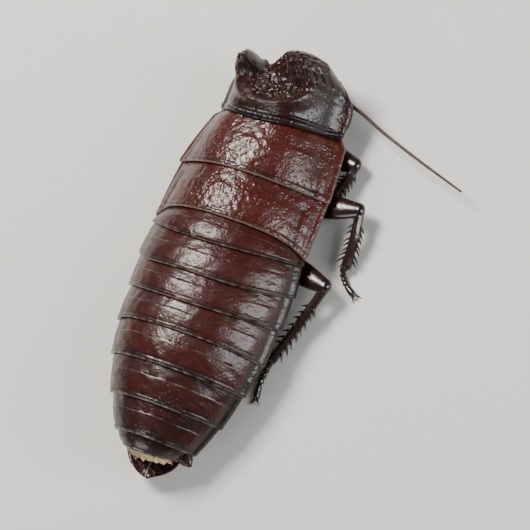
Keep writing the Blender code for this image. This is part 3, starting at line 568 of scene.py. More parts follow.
def shell_finish(name, light, deep, roughness, coat, grain_mm, grain, pits, specks):
    """Glossy horn-like cuticle: mottled colour, painted bands, painted shade and highlights, fine pitted
    grain and dust.
    """
    material = new_material(name)
    broad = ranged(material, noise(material, 4.0, 4.0, 0.6, 0.4), 0.35, 0.7, -0.25, 0.35)
    fine = ranged(material, noise(material, 0.5, 5.0, 0.65), 0.35, 0.65, -0.18, 0.18)
    blotch = maths(material, "ADD", broad, fine)
    # The dark mark holds dark bands and painted shade, the pale mark pale lines and painted highlights.
    shade = maths(material, "ADD", blotch, painted(material, "dark"), clamp=True)
    colour = mix(material, shade, light, deep)
    colour = mix(material, painted(material, "pale"), colour, PALE)
    dust = maths(material, "MULTIPLY", speck_mask(material, 0.42, 0.17), specks)
    sheen = ranged(material, noise(material, 1.6, 4.0, 0.6), 0.3, 0.7, roughness - 0.07, roughness + 0.12)
    surface = bumped(material, noise(material, 0.8, 4.0, 0.55), 0.16, 0.10)
    surface = bumped(material, noise(material, grain_mm, 3.0, 0.6), grain, 0.04, surface)
    if pits:
        hollow = ranged(material, cells(material, 0.55), 0.0, 0.45)
        surface = bumped(material, hollow, pits, 0.12, surface)
    dress(material, {
        "Base Color": mix(material, dust, colour, PALE),
        "Roughness": maths(material, "ADD", sheen, maths(material, "MULTIPLY", dust, 0.4)),
        "Specular IOR Level": 0.28, "Coat Weight": coat, "Coat Roughness": 0.16, "Coat IOR": 1.5,
        "Normal": surface, "Coat Normal": surface,
    })
    return material


def eye_finish():
    """Near-black compound eye with fine facets."""
    material = new_material("eye_finish")
    rim = ranged(material, cells(material, 0.11, 0.25), 0.25, 0.6)
    dress(material, {
        "Base Color": mix(material, rim, EYE_BROWN, EYE_BLACK),
        "Roughness": ranged(material, noise(material, 0.6), 0.3, 0.7, 0.12, 0.22),
        "Normal": bumped(material, rim, 0.5, 0.02, invert=True),
        "Coat Weight": 0.8, "Coat Roughness": 0.08,
    })
    return material


def membrane_finish():
    """Dry cream skin with brown stains at the tail."""
    material = new_material("membrane_finish")
    stain = ranged(material, noise(material, 0.9, 6.0, 0.7, 0.6), 0.45, 0.7)
    shade = maths(material, "ADD", stain, painted(material, "dark"), clamp=True)
    dress(material, {
        "Base Color": mix(material, shade, CREAM, STAIN),
        "Roughness": ranged(material, noise(material, 0.3), 0.3, 0.7, 0.5, 0.75),
        "Normal": bumped(material, noise(material, 0.35, 6.0, 0.7), 0.8, 0.15),
        "Subsurface Weight": 0.15, "Subsurface Scale": 0.5 * MM,
    })
    return material


def floor_finish():
    material = new_material("floor_finish")
    soft = ranged(material, noise(material, 30.0), 0.3, 0.7, 0.0, 0.06)
    dress(material, {"Base Color": mix(material, soft, FLOOR_COLOUR, FLOOR_SHADE), "Roughness": 0.75})
    return material


# The arched back

def section(angle, half_width, height, flatness, shoulder=PLATE_SHOULDER):
    """Across the back: distance from the midline and height over the side margin."""
    u = np.sin(angle) / math.sin(MARGIN_ANGLE)
    round_arch = (np.cos(angle) - math.cos(MARGIN_ANGLE)) / (1 - math.cos(MARGIN_ANGLE))
    bell = (1 - np.minimum(np.abs(u), 1.0) ** shoulder) ** 1.6
    lip = np.clip((np.abs(u) - 0.86) / 0.14, 0, 1.2) ** 2
    z = height * ((1 - flatness) * round_arch + flatness * bell) + RIM_LIFT * flatness * lip
    return half_width * u, z


def section_normal(angle, half_width, height, flatness, shoulder=PLATE_SHOULDER):
    """Outward direction of the arch, square to it in the plane across the body."""
    small = 0.02
    inner = np.clip(angle, -MARGIN_ANGLE + small, MARGIN_ANGLE - small)
    x0, z0 = section(inner - small, half_width, height, flatness, shoulder)
    x1, z1 = section(inner + small, half_width, height, flatness, shoulder)
    return to_unit(np.stack([-(z1 - z0), np.zeros_like(x0), x1 - x0], axis=-1))


def edge_line(name, angles):
    station, half_width, margin, height, sweep, power, flatness = HIND_EDGES[name]
    shoulder = SHIELD_SHOULDER if name == "pronotum" else PLATE_SHOULDER
    x, z = section(angles, half_width, height, flatness, shoulder)
    u = x / half_width
    y = station + sweep * np.abs(u) ** power
    line = np.stack([x, y, margin + z], axis=-1)
    return line, section_normal(angles, half_width, height, flatness, shoulder)


class Plate:
    """The outer surface of one back plate, from under the plate before it to its own hind edge."""

    def __init__(self, name, start, start_normals, angles):
        self.name = name
        self.u = np.sin(angles) / math.sin(MARGIN_ANGLE)
        self.start = start
        self.start_normals = start_normals
        self.hind, self.hind_normals = edge_line(name, angles)
        middle = len(angles) // 2
        self.length = self.hind[middle, 1] - start[middle, 1]
        self.lap = 1 - LAP / self.length

    def normals(self, v):
        return to_unit(self.start_normals + (self.hind_normals - self.start_normals) * v)

    def at(self, v, depth=0.0):
        line = self.start + (self.hind - self.start) * v
        line[:, 0] *= 1 + SIDE_SWELL.get(self.name, 0.0) * min(v / SWELL_START, 1.0) * (1 - v)
        return line + self.normals(v) * (0.12 * math.sin(math.pi * v) - depth)

    def tuck(self, depth):
        return self.at(self.lap, depth)


class Shield:
    """The outer surface of the pronotum, before its horns, ridge and basin."""

    name = "pronotum"

    def __init__(self, angles):
        self.angles = angles
        self.u = np.sin(angles) / math.sin(MARGIN_ANGLE)
        self.hind, self.hind_normals = edge_line(self.name, angles)
        self.length = HIND_EDGES[self.name][0] - SHIELD_FRONT
        self.rabbet = 1 - (LAP + GAP) / self.length
        self.lap = 1 - LAP / self.length

    def half_width(self, v):
        if v < SHIELD_WIDEST_AT:
            return SHIELD_WIDEST * (1 - SHIELD_FRONT_NARROWING * (1 - v / SHIELD_WIDEST_AT) ** 2)
        back = (v - SHIELD_WIDEST_AT) / (1 - SHIELD_WIDEST_AT)
        return SHIELD_WIDEST + (HIND_EDGES[self.name][1] - SHIELD_WIDEST) * back**2

    def at(self, v, depth=0.0):
        _, _, margin, height, _, _, flatness = HIND_EDGES[self.name]
        rise = 1 - (1 - v) ** 3.4
        margin += SHIELD_MARGIN_RISE * (1 - v) ** 2
        x, z = section(self.angles, self.half_width(v), height * rise, flatness, SHIELD_SHOULDER)
        deep, place, reach = SHIELD_NOTCH
        front = SHIELD_FRONT + SHIELD_FRONT_SWEEP * np.abs(self.u) ** 2.4
        front += deep * np.exp(-(((self.u - place) / reach) ** 2))
        y = front + (self.hind[:, 1] - front) * v
        brow = (SHIELD_FRONT_Z - margin) * (1 - v) ** 3 * (1 - self.u**2)
        line = np.stack([x, y, margin + brow + z], axis=-1)
        steep = height * max(rise, 0.35)
        normals = section_normal(self.angles, self.half_width(v), steep, flatness, SHIELD_SHOULDER)
        normals[:, 1] -= 2.2 * (1 - v) ** 6
        line -= to_unit(normals) * np.reshape(depth, (-1, 1))
        return self.settled(line, 1 - 0.5 * v)

    def settled(self, line, share):
        """Tips the line right side up and moves it to the right."""
        roll = SHIELD_ROLL * share
        x, z = line[:, 0].copy(), line[:, 2] - SHIELD_ROLL_Z
        line[:, 0] = x * math.cos(roll) + z * math.sin(roll) + SHIELD_SHIFT * share
        line[:, 2] = SHIELD_ROLL_Z - x * math.sin(roll) + z * math.cos(roll)
        return line

    def thickness(self):
        """Thin at the side margins and thick below the basin."""
        return SHIELD_RIM_THICKNESS + (SHIELD_THICKNESS - SHIELD_RIM_THICKNESS) * (1 - self.u**4)

    def tuck(self, depth):
        return self.at(self.lap, depth)


def lay_out(columns, reach=1.0, step=PLATE_STEP):
    """The shield's surface and those of the plates behind it, each starting under the one before."""
    angles = np.linspace(-MARGIN_ANGLE, MARGIN_ANGLE, columns + 1) * reach
    shield = Shield(angles)
    plates = []
    before = shield
    for name in PLATE_NAMES:
        start = before.at(1.0, step)
        plates.append(Plate(name, start, before.hind_normals, angles))
        before = plates[-1]
    return shield, plates


def horn_rise(x, y, v, u):
    """Height of the two horns over the plain shield."""
    horn = 0.0
    inward = np.clip((1 - np.abs(u)) / HORN_EDGE, 0, 1)
    for horn_x, horn_y, wide, long, tall in HORNS.values():
        spread = ((x - horn_x) / wide) ** 2 + ((y - horn_y) / long) ** 2
        horn = horn + tall * np.exp(-(spread**HORN_STEEPNESS))
    return horn * inward * np.clip(v / FRONT_FADE, 0, 1)


def ring_place(x, y):
    return np.hypot((x - RING_CENTRE[0]) / RING_RADII[0], (y - RING_CENTRE[1]) / RING_RADII[1])


def shield_relief(x, y, v, u, horn):
    """Height of the ridge, basin, rims and wrinkles over the plain shield."""
    ring = ring_place(x, y)
    deep, middle_x, middle_y, wide, long = SADDLE
    dip = deep * bump(x, middle_x, wide) * bump(y, middle_y, long) * np.clip(v / FRONT_FADE, 0, 1)
    behind = np.clip((y - 4.0) / 2.5, 0, 1)
    ridge = RING_HEIGHT * bump(ring, 1.0, RING_WIDTH) * behind
    inside = np.exp(-((ring / 0.85) ** 6))
    basin = BASIN_DEPTH * inside * np.clip(v / 0.2, 0, 1)
    bead = 0.3 * bump(v, 0.97, 0.04)
    knob_width, knob_length, knob_height = KNOB_SIZE
    knobs = 0.0
    for knob_x, knob_y in KNOBS:
        knobs = knobs + knob_height * bump(x, knob_x, knob_width) * bump(y, knob_y, knob_length)
    wrinkles = inside * (0.13 * rough(x, y, 1.5, 11) + 0.06 * rough(x, y, 0.6, 12))
    crumple = 0.16 * rough(x, y, 1.1, 13) * smooth_step(horn, 0.2, 1.5) * smooth_step(y, 1.5, 3.0)
    groove = -0.22 * bump(v, 0.90, 0.022) * smooth_step(1 - np.abs(u), 0.02, 0.2)
    studs = 0.05 * rough(x, y * 0.3, 0.5, 14) * bump(v, 0.965, 0.03)
    rim = 0.55 * smooth_step(np.abs(u), 0.86, 1.0) - 0.18 * bump(np.abs(u), 0.83, 0.04)
    crest = 0.10 * bump(x, 0.0, 0.35) * smooth_step(v, 0.55, 0.8)
    skin = 0.025 * rough(x, y, 2.0, 15)
    return (ridge - basin - dip + bead + knobs * inside + wrinkles + crumple + groove + studs
            + rim * smooth_step(v, 0.1, 0.35) + crest + skin)


def build_shield(material):
    angles = np.linspace(-MARGIN_ANGLE, MARGIN_ANGLE, SHIELD_COLUMNS + 1)
    shield = Shield(angles)
    top, bottom, dark = [], [], []
    for v in np.linspace(0.0, 1.0, SHIELD_ROWS) ** 1.2:
        line = shield.at(v)
        x, y = line[:, 0].copy(), line[:, 1].copy()
        horn = horn_rise(x, y, v, shield.u)
        line[:, 2] += shield_relief(x, y, v, shield.u, horn) + horn
        line[:, 1] -= HORN_LEAN * horn
        top.append(line)
        fullness = smooth_step(v, 0.0, 0.3) * (1 - smooth_step(v, shield.rabbet - 0.1, shield.rabbet))
        depth = FINE_LIP + (shield.thickness() - FINE_LIP) * fullness
        bottom.append(shield.at(max(v, 0.012), depth))
        ring = ring_place(x, y)
        shade = 0.55 * smooth_step(v, 0.84, 0.93) + 0.3 * smooth_step(v, 0.0, 0.1)
        # Painted highlight: lighter along the raised ridge round the basin.
        shade = shade - 0.45 * bump(ring, 1.0, 0.16) * smooth_step(y, 4.0, 6.5)
        side = np.abs(shield.u)
        # Painted shade: darker on the sloping flanks. Painted highlight: lighter on the raised side rim.
        shade = shade + 0.25 * smooth_step(side, 0.5, 0.8) - 0.5 * smooth_step(side, 0.9, 1.0)
        dark.append(np.clip(shade, -0.6, 1.0))
    shape = Shape()
    add_shell(shape, np.array(top), np.array(bottom), np.array(dark))
    shape.piece("shell_pronotum", material, "pronotum_shell", "pronotum", "horn_l", "horn_r")


def plate_relief(plate, index, v, x, y):
    """Small rises and grooves of a back plate, with the dark and pale marks that go with them: dark bands and
    pale edge lines, painted shade in grooves and creases, and painted highlights on rims and creases.
    """
    u = np.abs(plate.u)
    thorax = plate.name in THORAX_PLATES
    inward = smooth_step(1 - u, 0.04, 0.16)
    wave = 0.012 * rough(x, 0.0, 6.0, 40 + index)
    crease = 0.36 + wave + 0.05 * u**4
    lift = 0.10 * math.sin(math.pi * v) * inward
    lift = lift + 0.05 * np.tanh((v - crease) / 0.03) * inward
    lift = lift - 0.07 * bump(v, crease, 0.014) * inward * (0.0 if thorax else 1.0)
    lift = lift + 0.07 * bump(v, 0.955, 0.022) - 0.05 * bump(v, 0.895, 0.02) * inward
    lift = lift + 0.08 * bump(u, 0.985, 0.012) - 0.08 * bump(u, 0.952, 0.018)
    lift = lift - 0.10 * bump(u, 0.80, 0.06) * bump(v, 0.55, 0.22)
    lift = lift + 0.022 * rough(x, y, 2.2, 60 + index) + 0.009 * rough(x, y, 0.7, 80 + index)
    # Dark band towards the hind edge; painted shade along the front, under the lip of the plate before.
    dark = 0.62 * smooth_step(v, 0.80, 0.93) + 0.35 * (1 - smooth_step(v, 0.02, 0.20))
    # Darker towards the side margins; painted shade just in front of the crease.
    dark = dark + 0.75 * smooth_step(u, 0.90, 0.965) + 0.35 * bump(v, crease - 0.03, 0.03)
    # Pale line at the hind edge; painted highlight just behind the crease.
    pale = 0.30 * bump(v, 1.0, 0.010) + 0.22 * bump(v, crease + 0.012, 0.008) * inward
    pale = pale * (0.55 + 0.45 * rough(x, y, 1.3, 100 + index))
    if thorax:
        rim = smooth_step(u, 0.84, 0.93)
        groove = bump(u, 0.80 + 0.05 * v, 0.035) * smooth_step(v, 0.12, 0.3)
        lift = lift - 0.16 * groove + 0.10 * rim
        disc = smooth_step(0.66 - u, 0.0, 0.3)
        lift = lift + (0.03 * rough(x, y, 1.4, 120 + index) + 0.02 * rough(x, y, 0.5, 130 + index)) * disc
        # Dark band towards the hind edge; painted shade along the front, under the lip of the plate before.
        dark = 0.45 * smooth_step(v, 0.82, 0.95) + 0.25 * (1 - smooth_step(v, 0.0, 0.1))
        # Painted shade in the groove and painted highlight on the raised rim beside it; darker at the very
        # side edge.
        dark = dark + 0.5 * groove - 0.35 * rim + 0.5 * smooth_step(u, 0.965, 0.99)
        pale = 0.25 * bump(v, 1.0, 0.010) + 0.20 * bump(u, 1.0, 0.008)
    return lift, np.clip(dark + TAIL_SHADE.get(plate.name, 0.0), -0.5, 1.0), np.clip(pale, 0, 1)


def build_plate(plate, before, index, material, slot):
    """One lapped plate, from its hidden front edge to its thin hind lip."""
    hidden, start = before.tuck(FINE_STEP), plate.at(0.0)
    top, bottom, darks, pales = [], [], [], []
    # The hidden strip under the plate before is painted fully dark, as painted shade in the gap.
    for s in (0.0, 0.35, 0.7):
        line = hidden + (start - hidden) * s
        top.append(line)
        bottom.append(line - plate.normals(0.0) * FINE_LIP)
        darks.append(np.ones(len(line)))
        pales.append(np.zeros(len(line)))
    for v in np.linspace(0.0, 1.0, PLATE_ROWS):
        line = plate.at(v)
        lift, dark, pale = plate_relief(plate, index, v, line[:, 0], line[:, 1])
        normals = plate.normals(v)
        top.append(line + normals * lift[:, None])
        bottom.append(line - normals * FINE_LIP)
        darks.append(dark)
        pales.append(pale)
    shape = Shape()
    add_shell(shape, np.array(top), np.array(bottom), np.array(darks), np.array(pales))
    shape.piece("shell_" + plate.name, material, slot, plate.name)


# The soft body and the belly plates

def build_core(name, shield, plates, first, last, belly, curve, material):
    """The body under the back plates, with each belly plate lapping over the next."""
    deep = PLATE_STEP + LIP + 1.2 * GAP
    lines = []
    if first == "pronotum":
        for v in np.linspace(CORE_FRONT, CORE_END, 2 * CORE_ROWS):
            lines.append((shield.at(v, shield.thickness() + 1.5 * GAP), v))
    names = [plate.name for plate in plates]
    start = 0 if first == "pronotum" else names.index(first)
    used = plates[start : names.index(last) + 1]
    for plate in used:
        stop = CORE_END if plate is used[-1] else 0.985
        for v in np.linspace(0.015, stop, CORE_ROWS):
            lines.append((plate.at(v, deep), v))
    top = np.array([line for line, _ in lines])
    bottom = top.copy()
    darks = np.zeros(top.shape[:2])
    for k, (line, v) in enumerate(lines):
        x = line[:, 0]
        u = np.abs(x) / np.abs(x).max()
        edge = line[:, 2].min() - 0.5
        step = STERNITE_STEP * (1 - v)
        bulge = -0.12 * math.sin(math.pi * min(v, 1.0)) * (1 - u**4)
        dent = 0.18 * bump(u, 0.80, 0.05)
        bottom[k, :, 2] = belly + (edge - belly) * u**curve + step * (1 - u**4) + bulge + dent
        bottom[k, :, 2] += 0.02 * rough(x, line[:, 1], 1.8, 200)
        bottom[k, :, 0] *= 0.98
        middle = line[len(line) // 2, 1]
        bottom[k, :, 1] = middle + (line[:, 1] - middle) * 0.5
        darks[k] = 0.75 * smooth_step(v, 0.70, 0.96) + 0.5 * smooth_step(u, 0.72, 0.95)
    shape = Shape()
    add_shell(shape, top, bottom, np.clip(darks, 0, 1), 0.0)
    shape.piece(name + "_skin", material, "underside", name)


# Tail

def build_tail(material, membrane):
    """The plate that closes the tail from below, the two cerci and the dry skin between."""
    run = smooth_path(TAIL_PLATE, TAIL_ROWS)
    u = np.linspace(-1, 1, TAIL_COLUMNS)
    bottom = []
    for y, half_width, z in run:
        bottom.append(np.stack([half_width * u, y - 0.25 * u**2, z - 0.9 + 0.9 * np.abs(u) ** 2.2], axis=-1))
    bottom = np.array(bottom)
    t = np.linspace(0, 1, TAIL_ROWS)[:, None]
    thickness = TAIL_PLATE_THICKNESS * (1 - 0.45 * t**3) * (1 - 0.5 * np.abs(u) ** 6)
    top = bottom + thickness[..., None] * UP
    top[..., 2] += 0.05 * rough(top[..., 0], top[..., 1], 1.2, 301)
    line = bump(top[..., 0], 0.15, 0.09) * smooth_step(t, 0.45, 0.6)
    dark = np.full(top.shape[:2], 0.6)
    shape = Shape()
    add_shell(shape, top, bottom, dark, np.clip(line, 0, 1))
    shape.piece("tail_subgenital_plate", material, "tail_shell", "subgenital_plate")
    for label, points in CERCI.items():
        build_cercus(label, points, material)
    build_membrane(membrane)


def build_cercus(label, points, material):
    """A short flat cone of seven rings."""
    turn = np.linspace(0, 7 * math.pi, CERCUS_RINGS)
    joints = 1 + 0.10 * np.abs(np.sin(turn)) ** 0.6
    widths = profile((0.8, 1.05, 1.05, 0.85, 0.4), CERCUS_RINGS) * joints
    heights = profile((0.6, 0.75, 0.7, 0.6, 0.3), CERCUS_RINGS) * joints
    shape = Shape()
    add_tube(shape, smooth_path(points, CERCUS_RINGS), widths, heights, 20,
             dark=0.3 + 0.4 * np.abs(np.cos(turn)) ** 4)
    shape.piece("tail_cercus_" + label, material, "tail_shell", "cercus_" + label)


def build_membrane(material):
    """A ragged cream strip that hangs from under the last back plate onto the plate below."""
    angles = np.linspace(-MARGIN_ANGLE, MARGIN_ANGLE, MEMBRANE_COLUMNS) * 0.92
    hind, normals = edge_line("supra_anal_plate", angles)
    upper = hind - normals * (LIP + 0.1) + np.array([0.0, -0.5, 0.0])
    u = hind[:, 0] / HIND_EDGES["supra_anal_plate"][1]
    drop = 1.7 - 0.9 * u**2 + 0.16 * rough(hind[:, 0], 0.0, 1.1, 310)
    reach = 1.35 - 0.3 * u**2 + 0.16 * rough(hind[:, 0], 0.0, 0.7, 311)
    top = []
    for s in np.linspace(0, 1, MEMBRANE_ROWS):
        line = upper.copy()
        line[:, 1] += reach * s + 0.10 * math.sin(math.pi * s)
        line[:, 2] -= drop * s**1.4
        line[:, 2] += 0.07 * rough(line[:, 0], line[:, 1] + 3 * s, 0.6, 312)
        top.append(line)
    top = np.array(top)
    bottom = top - sheet_normals(top) * 0.14
    dark = np.broadcast_to(0.55 * smooth_step(np.abs(u), 0.7, 1.0), top.shape[:2])
    shape = Shape()
    add_shell(shape, top, bottom, dark, 0.0)
    shape.piece("tail_dry_skin", material, "tail_shell")


# Head and mouth

def head_form(unit, points):
    """Narrows the face towards the mouth, flattens it and cuts its seams."""
    shaped = points.copy()
    down = smooth_step(-unit[:, 2], 0.0, 1.0)
    shaped[:, 0] *= 1 - 0.30 * down
    front = smooth_step(-unit[:, 1], 0.1, 0.8)
    shaped[:, 1] += 0.30 * front * (1 - np.abs(unit[:, 0])) * smooth_step(unit[:, 2], -0.6, 0.3)
    seam = bump(unit[:, 2], -0.42 + 0.25 * unit[:, 0] ** 2, 0.03) * front
    cheek = bump(np.abs(unit[:, 0]), 0.62, 0.035) * front * smooth_step(-unit[:, 2], -0.1, 0.3)
    middle = bump(unit[:, 0], 0.0, 0.02) * front * smooth_step(unit[:, 2], 0.35, 0.6)
    pit = bump(np.abs(shaped[:, 0]), 1.75, 0.62) * bump(shaped[:, 2], 0.55, 0.62) * front
    shaped *= (1 - 0.035 * (seam + cheek + 0.7 * middle))[:, None]
    shaped[:, 1] += 0.25 * pit
    shaped *= (1 + 0.006 * rough(shaped[:, 0] + shaped[:, 1], shaped[:, 2], 1.0, 401))[:, None]
    return shaped


def eye_form(unit, points):
    """Dents the front of an eye, beside the feeler's socket."""
    shaped = points.copy()
    shaped[:, 1] += 0.28 * bump(unit[:, 2], -0.1, 0.35) * smooth_step(-unit[:, 1], 0.3, 1.0)
    return shaped


def build_head(material, pale_material, eye_material):
    """The capsule with its two sockets, the pale spots over them and the eyes."""
    shape, spots = Shape(), Shape()
    radii = np.array(HEAD_RADII) * 0.985
    add_ball(shape, HEAD_CENTRE, radii, 120, 90, math.radians(-10.0), 0.15, 0.0, head_form)
    for side, _ in SIDES:
        base, ahead = np.array(mirrored(FEELERS["l"][:2], side))
        steps = np.linspace(-0.35, 0.12, len(SOCKET_RADII))
        path = base + np.outer(steps, to_unit(ahead - base))
        add_tube(shape, path, SOCKET_RADII, SOCKET_RADII, 28, pale=0.15)
        place = mirrored([OCELLUS_CENTRE], side)[0]
        add_ball(spots, place, OCELLUS_RADII, 24, 14, math.radians(-28.0))
    shape.piece("head_capsule", material, "head_shell", "head")
    spots.piece("head_ocelli", pale_material, "head_shell")
    for side, label in SIDES:
        eye = Shape()
        place = mirrored([EYE_CENTRE], side)[0]
        add_ball(eye, place, EYE_RADII, 48, 36, math.radians(-12.0), form=eye_form)
        eye.piece("eye_ball_" + label, eye_material, "eye", "eye_" + label)


def jointed(count, stops, wide, narrow, flare=0.25):
    """Radii that narrow at each joint and widen towards the end of each stretch."""
    t = np.linspace(0, 1, count)
    radii = np.full(count, wide, float)
    for low, high in zip(stops, stops[1:]):
        inside = (t >= low) & (t <= high)
        s = (t[inside] - low) / (high - low)
        body = (1 - (2 * np.abs(s - 0.5)) ** 6) * (1 + flare * (s - 0.5))
        radii[inside] = narrow + (wide - narrow) * np.clip(body, 0, None)
    return radii


def build_mouth(shell_material, leg_material, palp_material):
    shape = Shape()
    count = 26
    add_tube(shape, smooth_path(LABRUM, count), profile(LABRUM_WIDTHS, count), LABRUM_THICKNESS, 32,
             up=(0, 1, 0), dark=0.3, relief=lambda t, angles: 1 - 0.08 * bump(t, 0.45, 0.03))
    shape.piece("mouth_labrum", shell_material, "head_shell", "labrum")
    for side, label in SIDES:
        build_jaw(side, label, leg_material)
        for kind, (points, stops, wide, narrow, count, sides) in PALPS.items():
            palp = Shape()
            radii = jointed(count, stops, wide, narrow)
            add_tube(palp, smooth_path(mirrored(points, side), count), radii, radii, sides)
            palp.piece(f"palp_{kind}_{label}", palp_material, "palp", f"{kind}_palp_{label}")


def build_jaw(side, label, material):
    """A short blade with teeth that point inwards."""
    jaw = Shape()
    count = 24
    add_tube(jaw, smooth_path(mirrored(JAW, side), count), profile(JAW_WIDTHS, count),
             profile(JAW_HEIGHTS, count), 20, up=(0, 1, 0), dark=0.7)
    for k in range(JAW_TEETH):
        root = (side * (0.75 - 0.12 * k), 3.35 + 0.2 * k, 1.6 - 0.1 * k)
        add_spike(jaw, root, (-side, 0.0, -0.4), 0.42, 0.14, dark=0.9)
    jaw.piece("mouth_mandible_" + label, material, "head_shell", "mandible_" + label)


def build_feeler(label, material):
    """Scape, pedicel and a long whip of short rings."""
    count = FEELER_JOINTS * FEELER_STEPS + 1
    t = np.linspace(0, 1, count)
    radii = FEELER_RADIUS + (FEELER_TIP_RADIUS - FEELER_RADIUS) * t**1.3
    radii = radii * (0.80 + 0.2 * smooth_step(1 - t, 0.0, 0.15))
    wave = (np.arange(count) % FEELER_STEPS) / FEELER_STEPS
    rings = 1 + 0.10 * (wave - 0.5) - 0.10 * (wave == 0)
    past_scape = smooth_step(t, SCAPE_END - 0.005, SCAPE_END + 0.002)
    club = SCAPE_RADIUS * (0.85 + 0.25 * np.sin(np.clip(t / SCAPE_END, 0, 1) * 2.6))
    radii = radii * past_scape * rings + (1 - past_scape) * club
    pedicel = past_scape * (1 - smooth_step(t, PEDICEL_END - 0.005, PEDICEL_END))
    radii = radii + 0.06 * pedicel
    radii = radii - 0.12 * bump(t, SCAPE_END, 0.002) - 0.06 * bump(t, PEDICEL_END, 0.002)
    shape = Shape()
    add_tube(shape, smooth_path(FEELERS[label], count), radii, radii, 12,
             dark=0.55 * (1 - smooth_step(t, 0.0, 0.35)) + 0.35 * (wave == 0))
    shape.piece("feeler_" + label, material, "feeler", "antenna_" + label)


# Legs

def add_spike(shape, root, aim, length, radius, bend=(0.0, 0.0, 0.0), dark=0.6, collar=1.35):
    """A slim curved spike that widens into a small collar at its root."""
    aim = to_unit(aim)
    t = np.array(SPIKE_PLACES)
    path = root + np.outer(t * length, aim) + np.outer(np.clip(t, 0, 1) ** 2 * length, bend)
    radii = np.array((collar, collar, collar * 0.93) + SPIKE_TAPER) * radius
    up = UP if abs(aim[2]) < 0.9 else (1.0, 0.0, 0.0)
    add_tube(shape, path, radii, radii, 10, up=up, dark=dark, ends=(False, False))


def add_bristles(shape, path, radii, count, seed, length=0.45):
    """Fine short bristles that stand off a leg joint, where the floor leaves them room."""
    draw = np.random.default_rng(seed)
    ahead = to_unit(np.gradient(path, axis=0))
    t = np.linspace(0, 1, len(BRISTLE_RADII))
    for _ in range(count):
        i = int(draw.uniform(0.08, 0.95) * (len(path) - 1))
        turn = draw.uniform(0, 2 * math.pi)
        side = to_unit(np.cross(ahead[i], UP))
        out = side * math.cos(turn) + np.cross(side, ahead[i]) * math.sin(turn)
        root = path[i] + out * radii[i] * 0.9
        aim = out + ahead[i] * draw.uniform(0.4, 1.2)
        long = length * draw.uniform(0.6, 1.2)
        if root[2] + aim[2] * long < 0.1:
            continue
        add_tube(shape, root + np.outer(t * long, to_unit(aim)), BRISTLE_RADII, BRISTLE_RADII, 4,
                 up=(0.3, 0.2, 1.0), dark=0.0, pale=0.25, ends=(False, False))


def build_coxa(leg, root, hip, material):
    shape = Shape()
    path = smooth_path([root, np.add(root, hip) / 2, hip], COXA_RINGS)
    widths = profile(COXA_WIDTHS, COXA_RINGS) * COXA_SIZE[0]
    heights = profile(COXA_HEIGHTS, COXA_RINGS) * COXA_SIZE[1]

    def relief(t, angles):
        return 1 - 0.05 * bump(np.cos(angles), 0.55, 0.08) + 0.03 * np.cos(2 * angles) ** 8

    dark = 0.15 + 0.5 * smooth_step(np.linspace(0, 1, COXA_RINGS), 0.85, 1.0)
    add_tube(shape, path, widths, heights, 40, dark=dark, relief=relief)
    shape.piece("leg_coxa_" + leg, material, "leg_shell", "coxa_" + leg)


def build_femur(leg, hip, knee, material):
    """A flat thigh with a groove below for the tibia, and two rows of short spines along it."""
    shape = Shape()
    width, height = FEMUR_SIZE
    middle = np.add(hip, knee) / 2 + UP * 0.1
    path = smooth_path([hip, middle, knee], FEMUR_RINGS)
    widths = profile(FEMUR_WIDTHS, FEMUR_RINGS) * width
    heights = profile(FEMUR_HEIGHTS, FEMUR_RINGS) * height

    def relief(t, angles):
        keel = 0.05 * np.abs(np.cos(angles)) ** 6
        groove = 0.16 * bump(np.sin(angles), -1.0, 0.18) * smooth_step(t, 0.25, 0.6)
        return 1 + keel - groove

    dark = 0.2 + 0.5 * smooth_step(np.linspace(0, 1, FEMUR_RINGS), 0.86, 1.0)
    add_tube(shape, path, widths, heights, 36, dark=dark, relief=relief)
    along = to_unit(np.subtract(knee, hip))
    outward = np.cross(along, UP)
    for row in (-1, 1):
        for k in range(3):
            place = path[int((0.62 + 0.13 * k) * (FEMUR_RINGS - 1))]
            root = place + outward * row * width * 0.55 - UP * height * 0.7
            add_spike(shape, root, outward * row * 0.4 + along * 0.7 - UP * 0.5, 0.6, 0.13)
    add_bristles(shape, path, np.minimum(widths, heights), 26, sum(map(ord, leg)))
    shape.piece("leg_femur_" + leg, material, "leg_shell", "femur_" + leg)


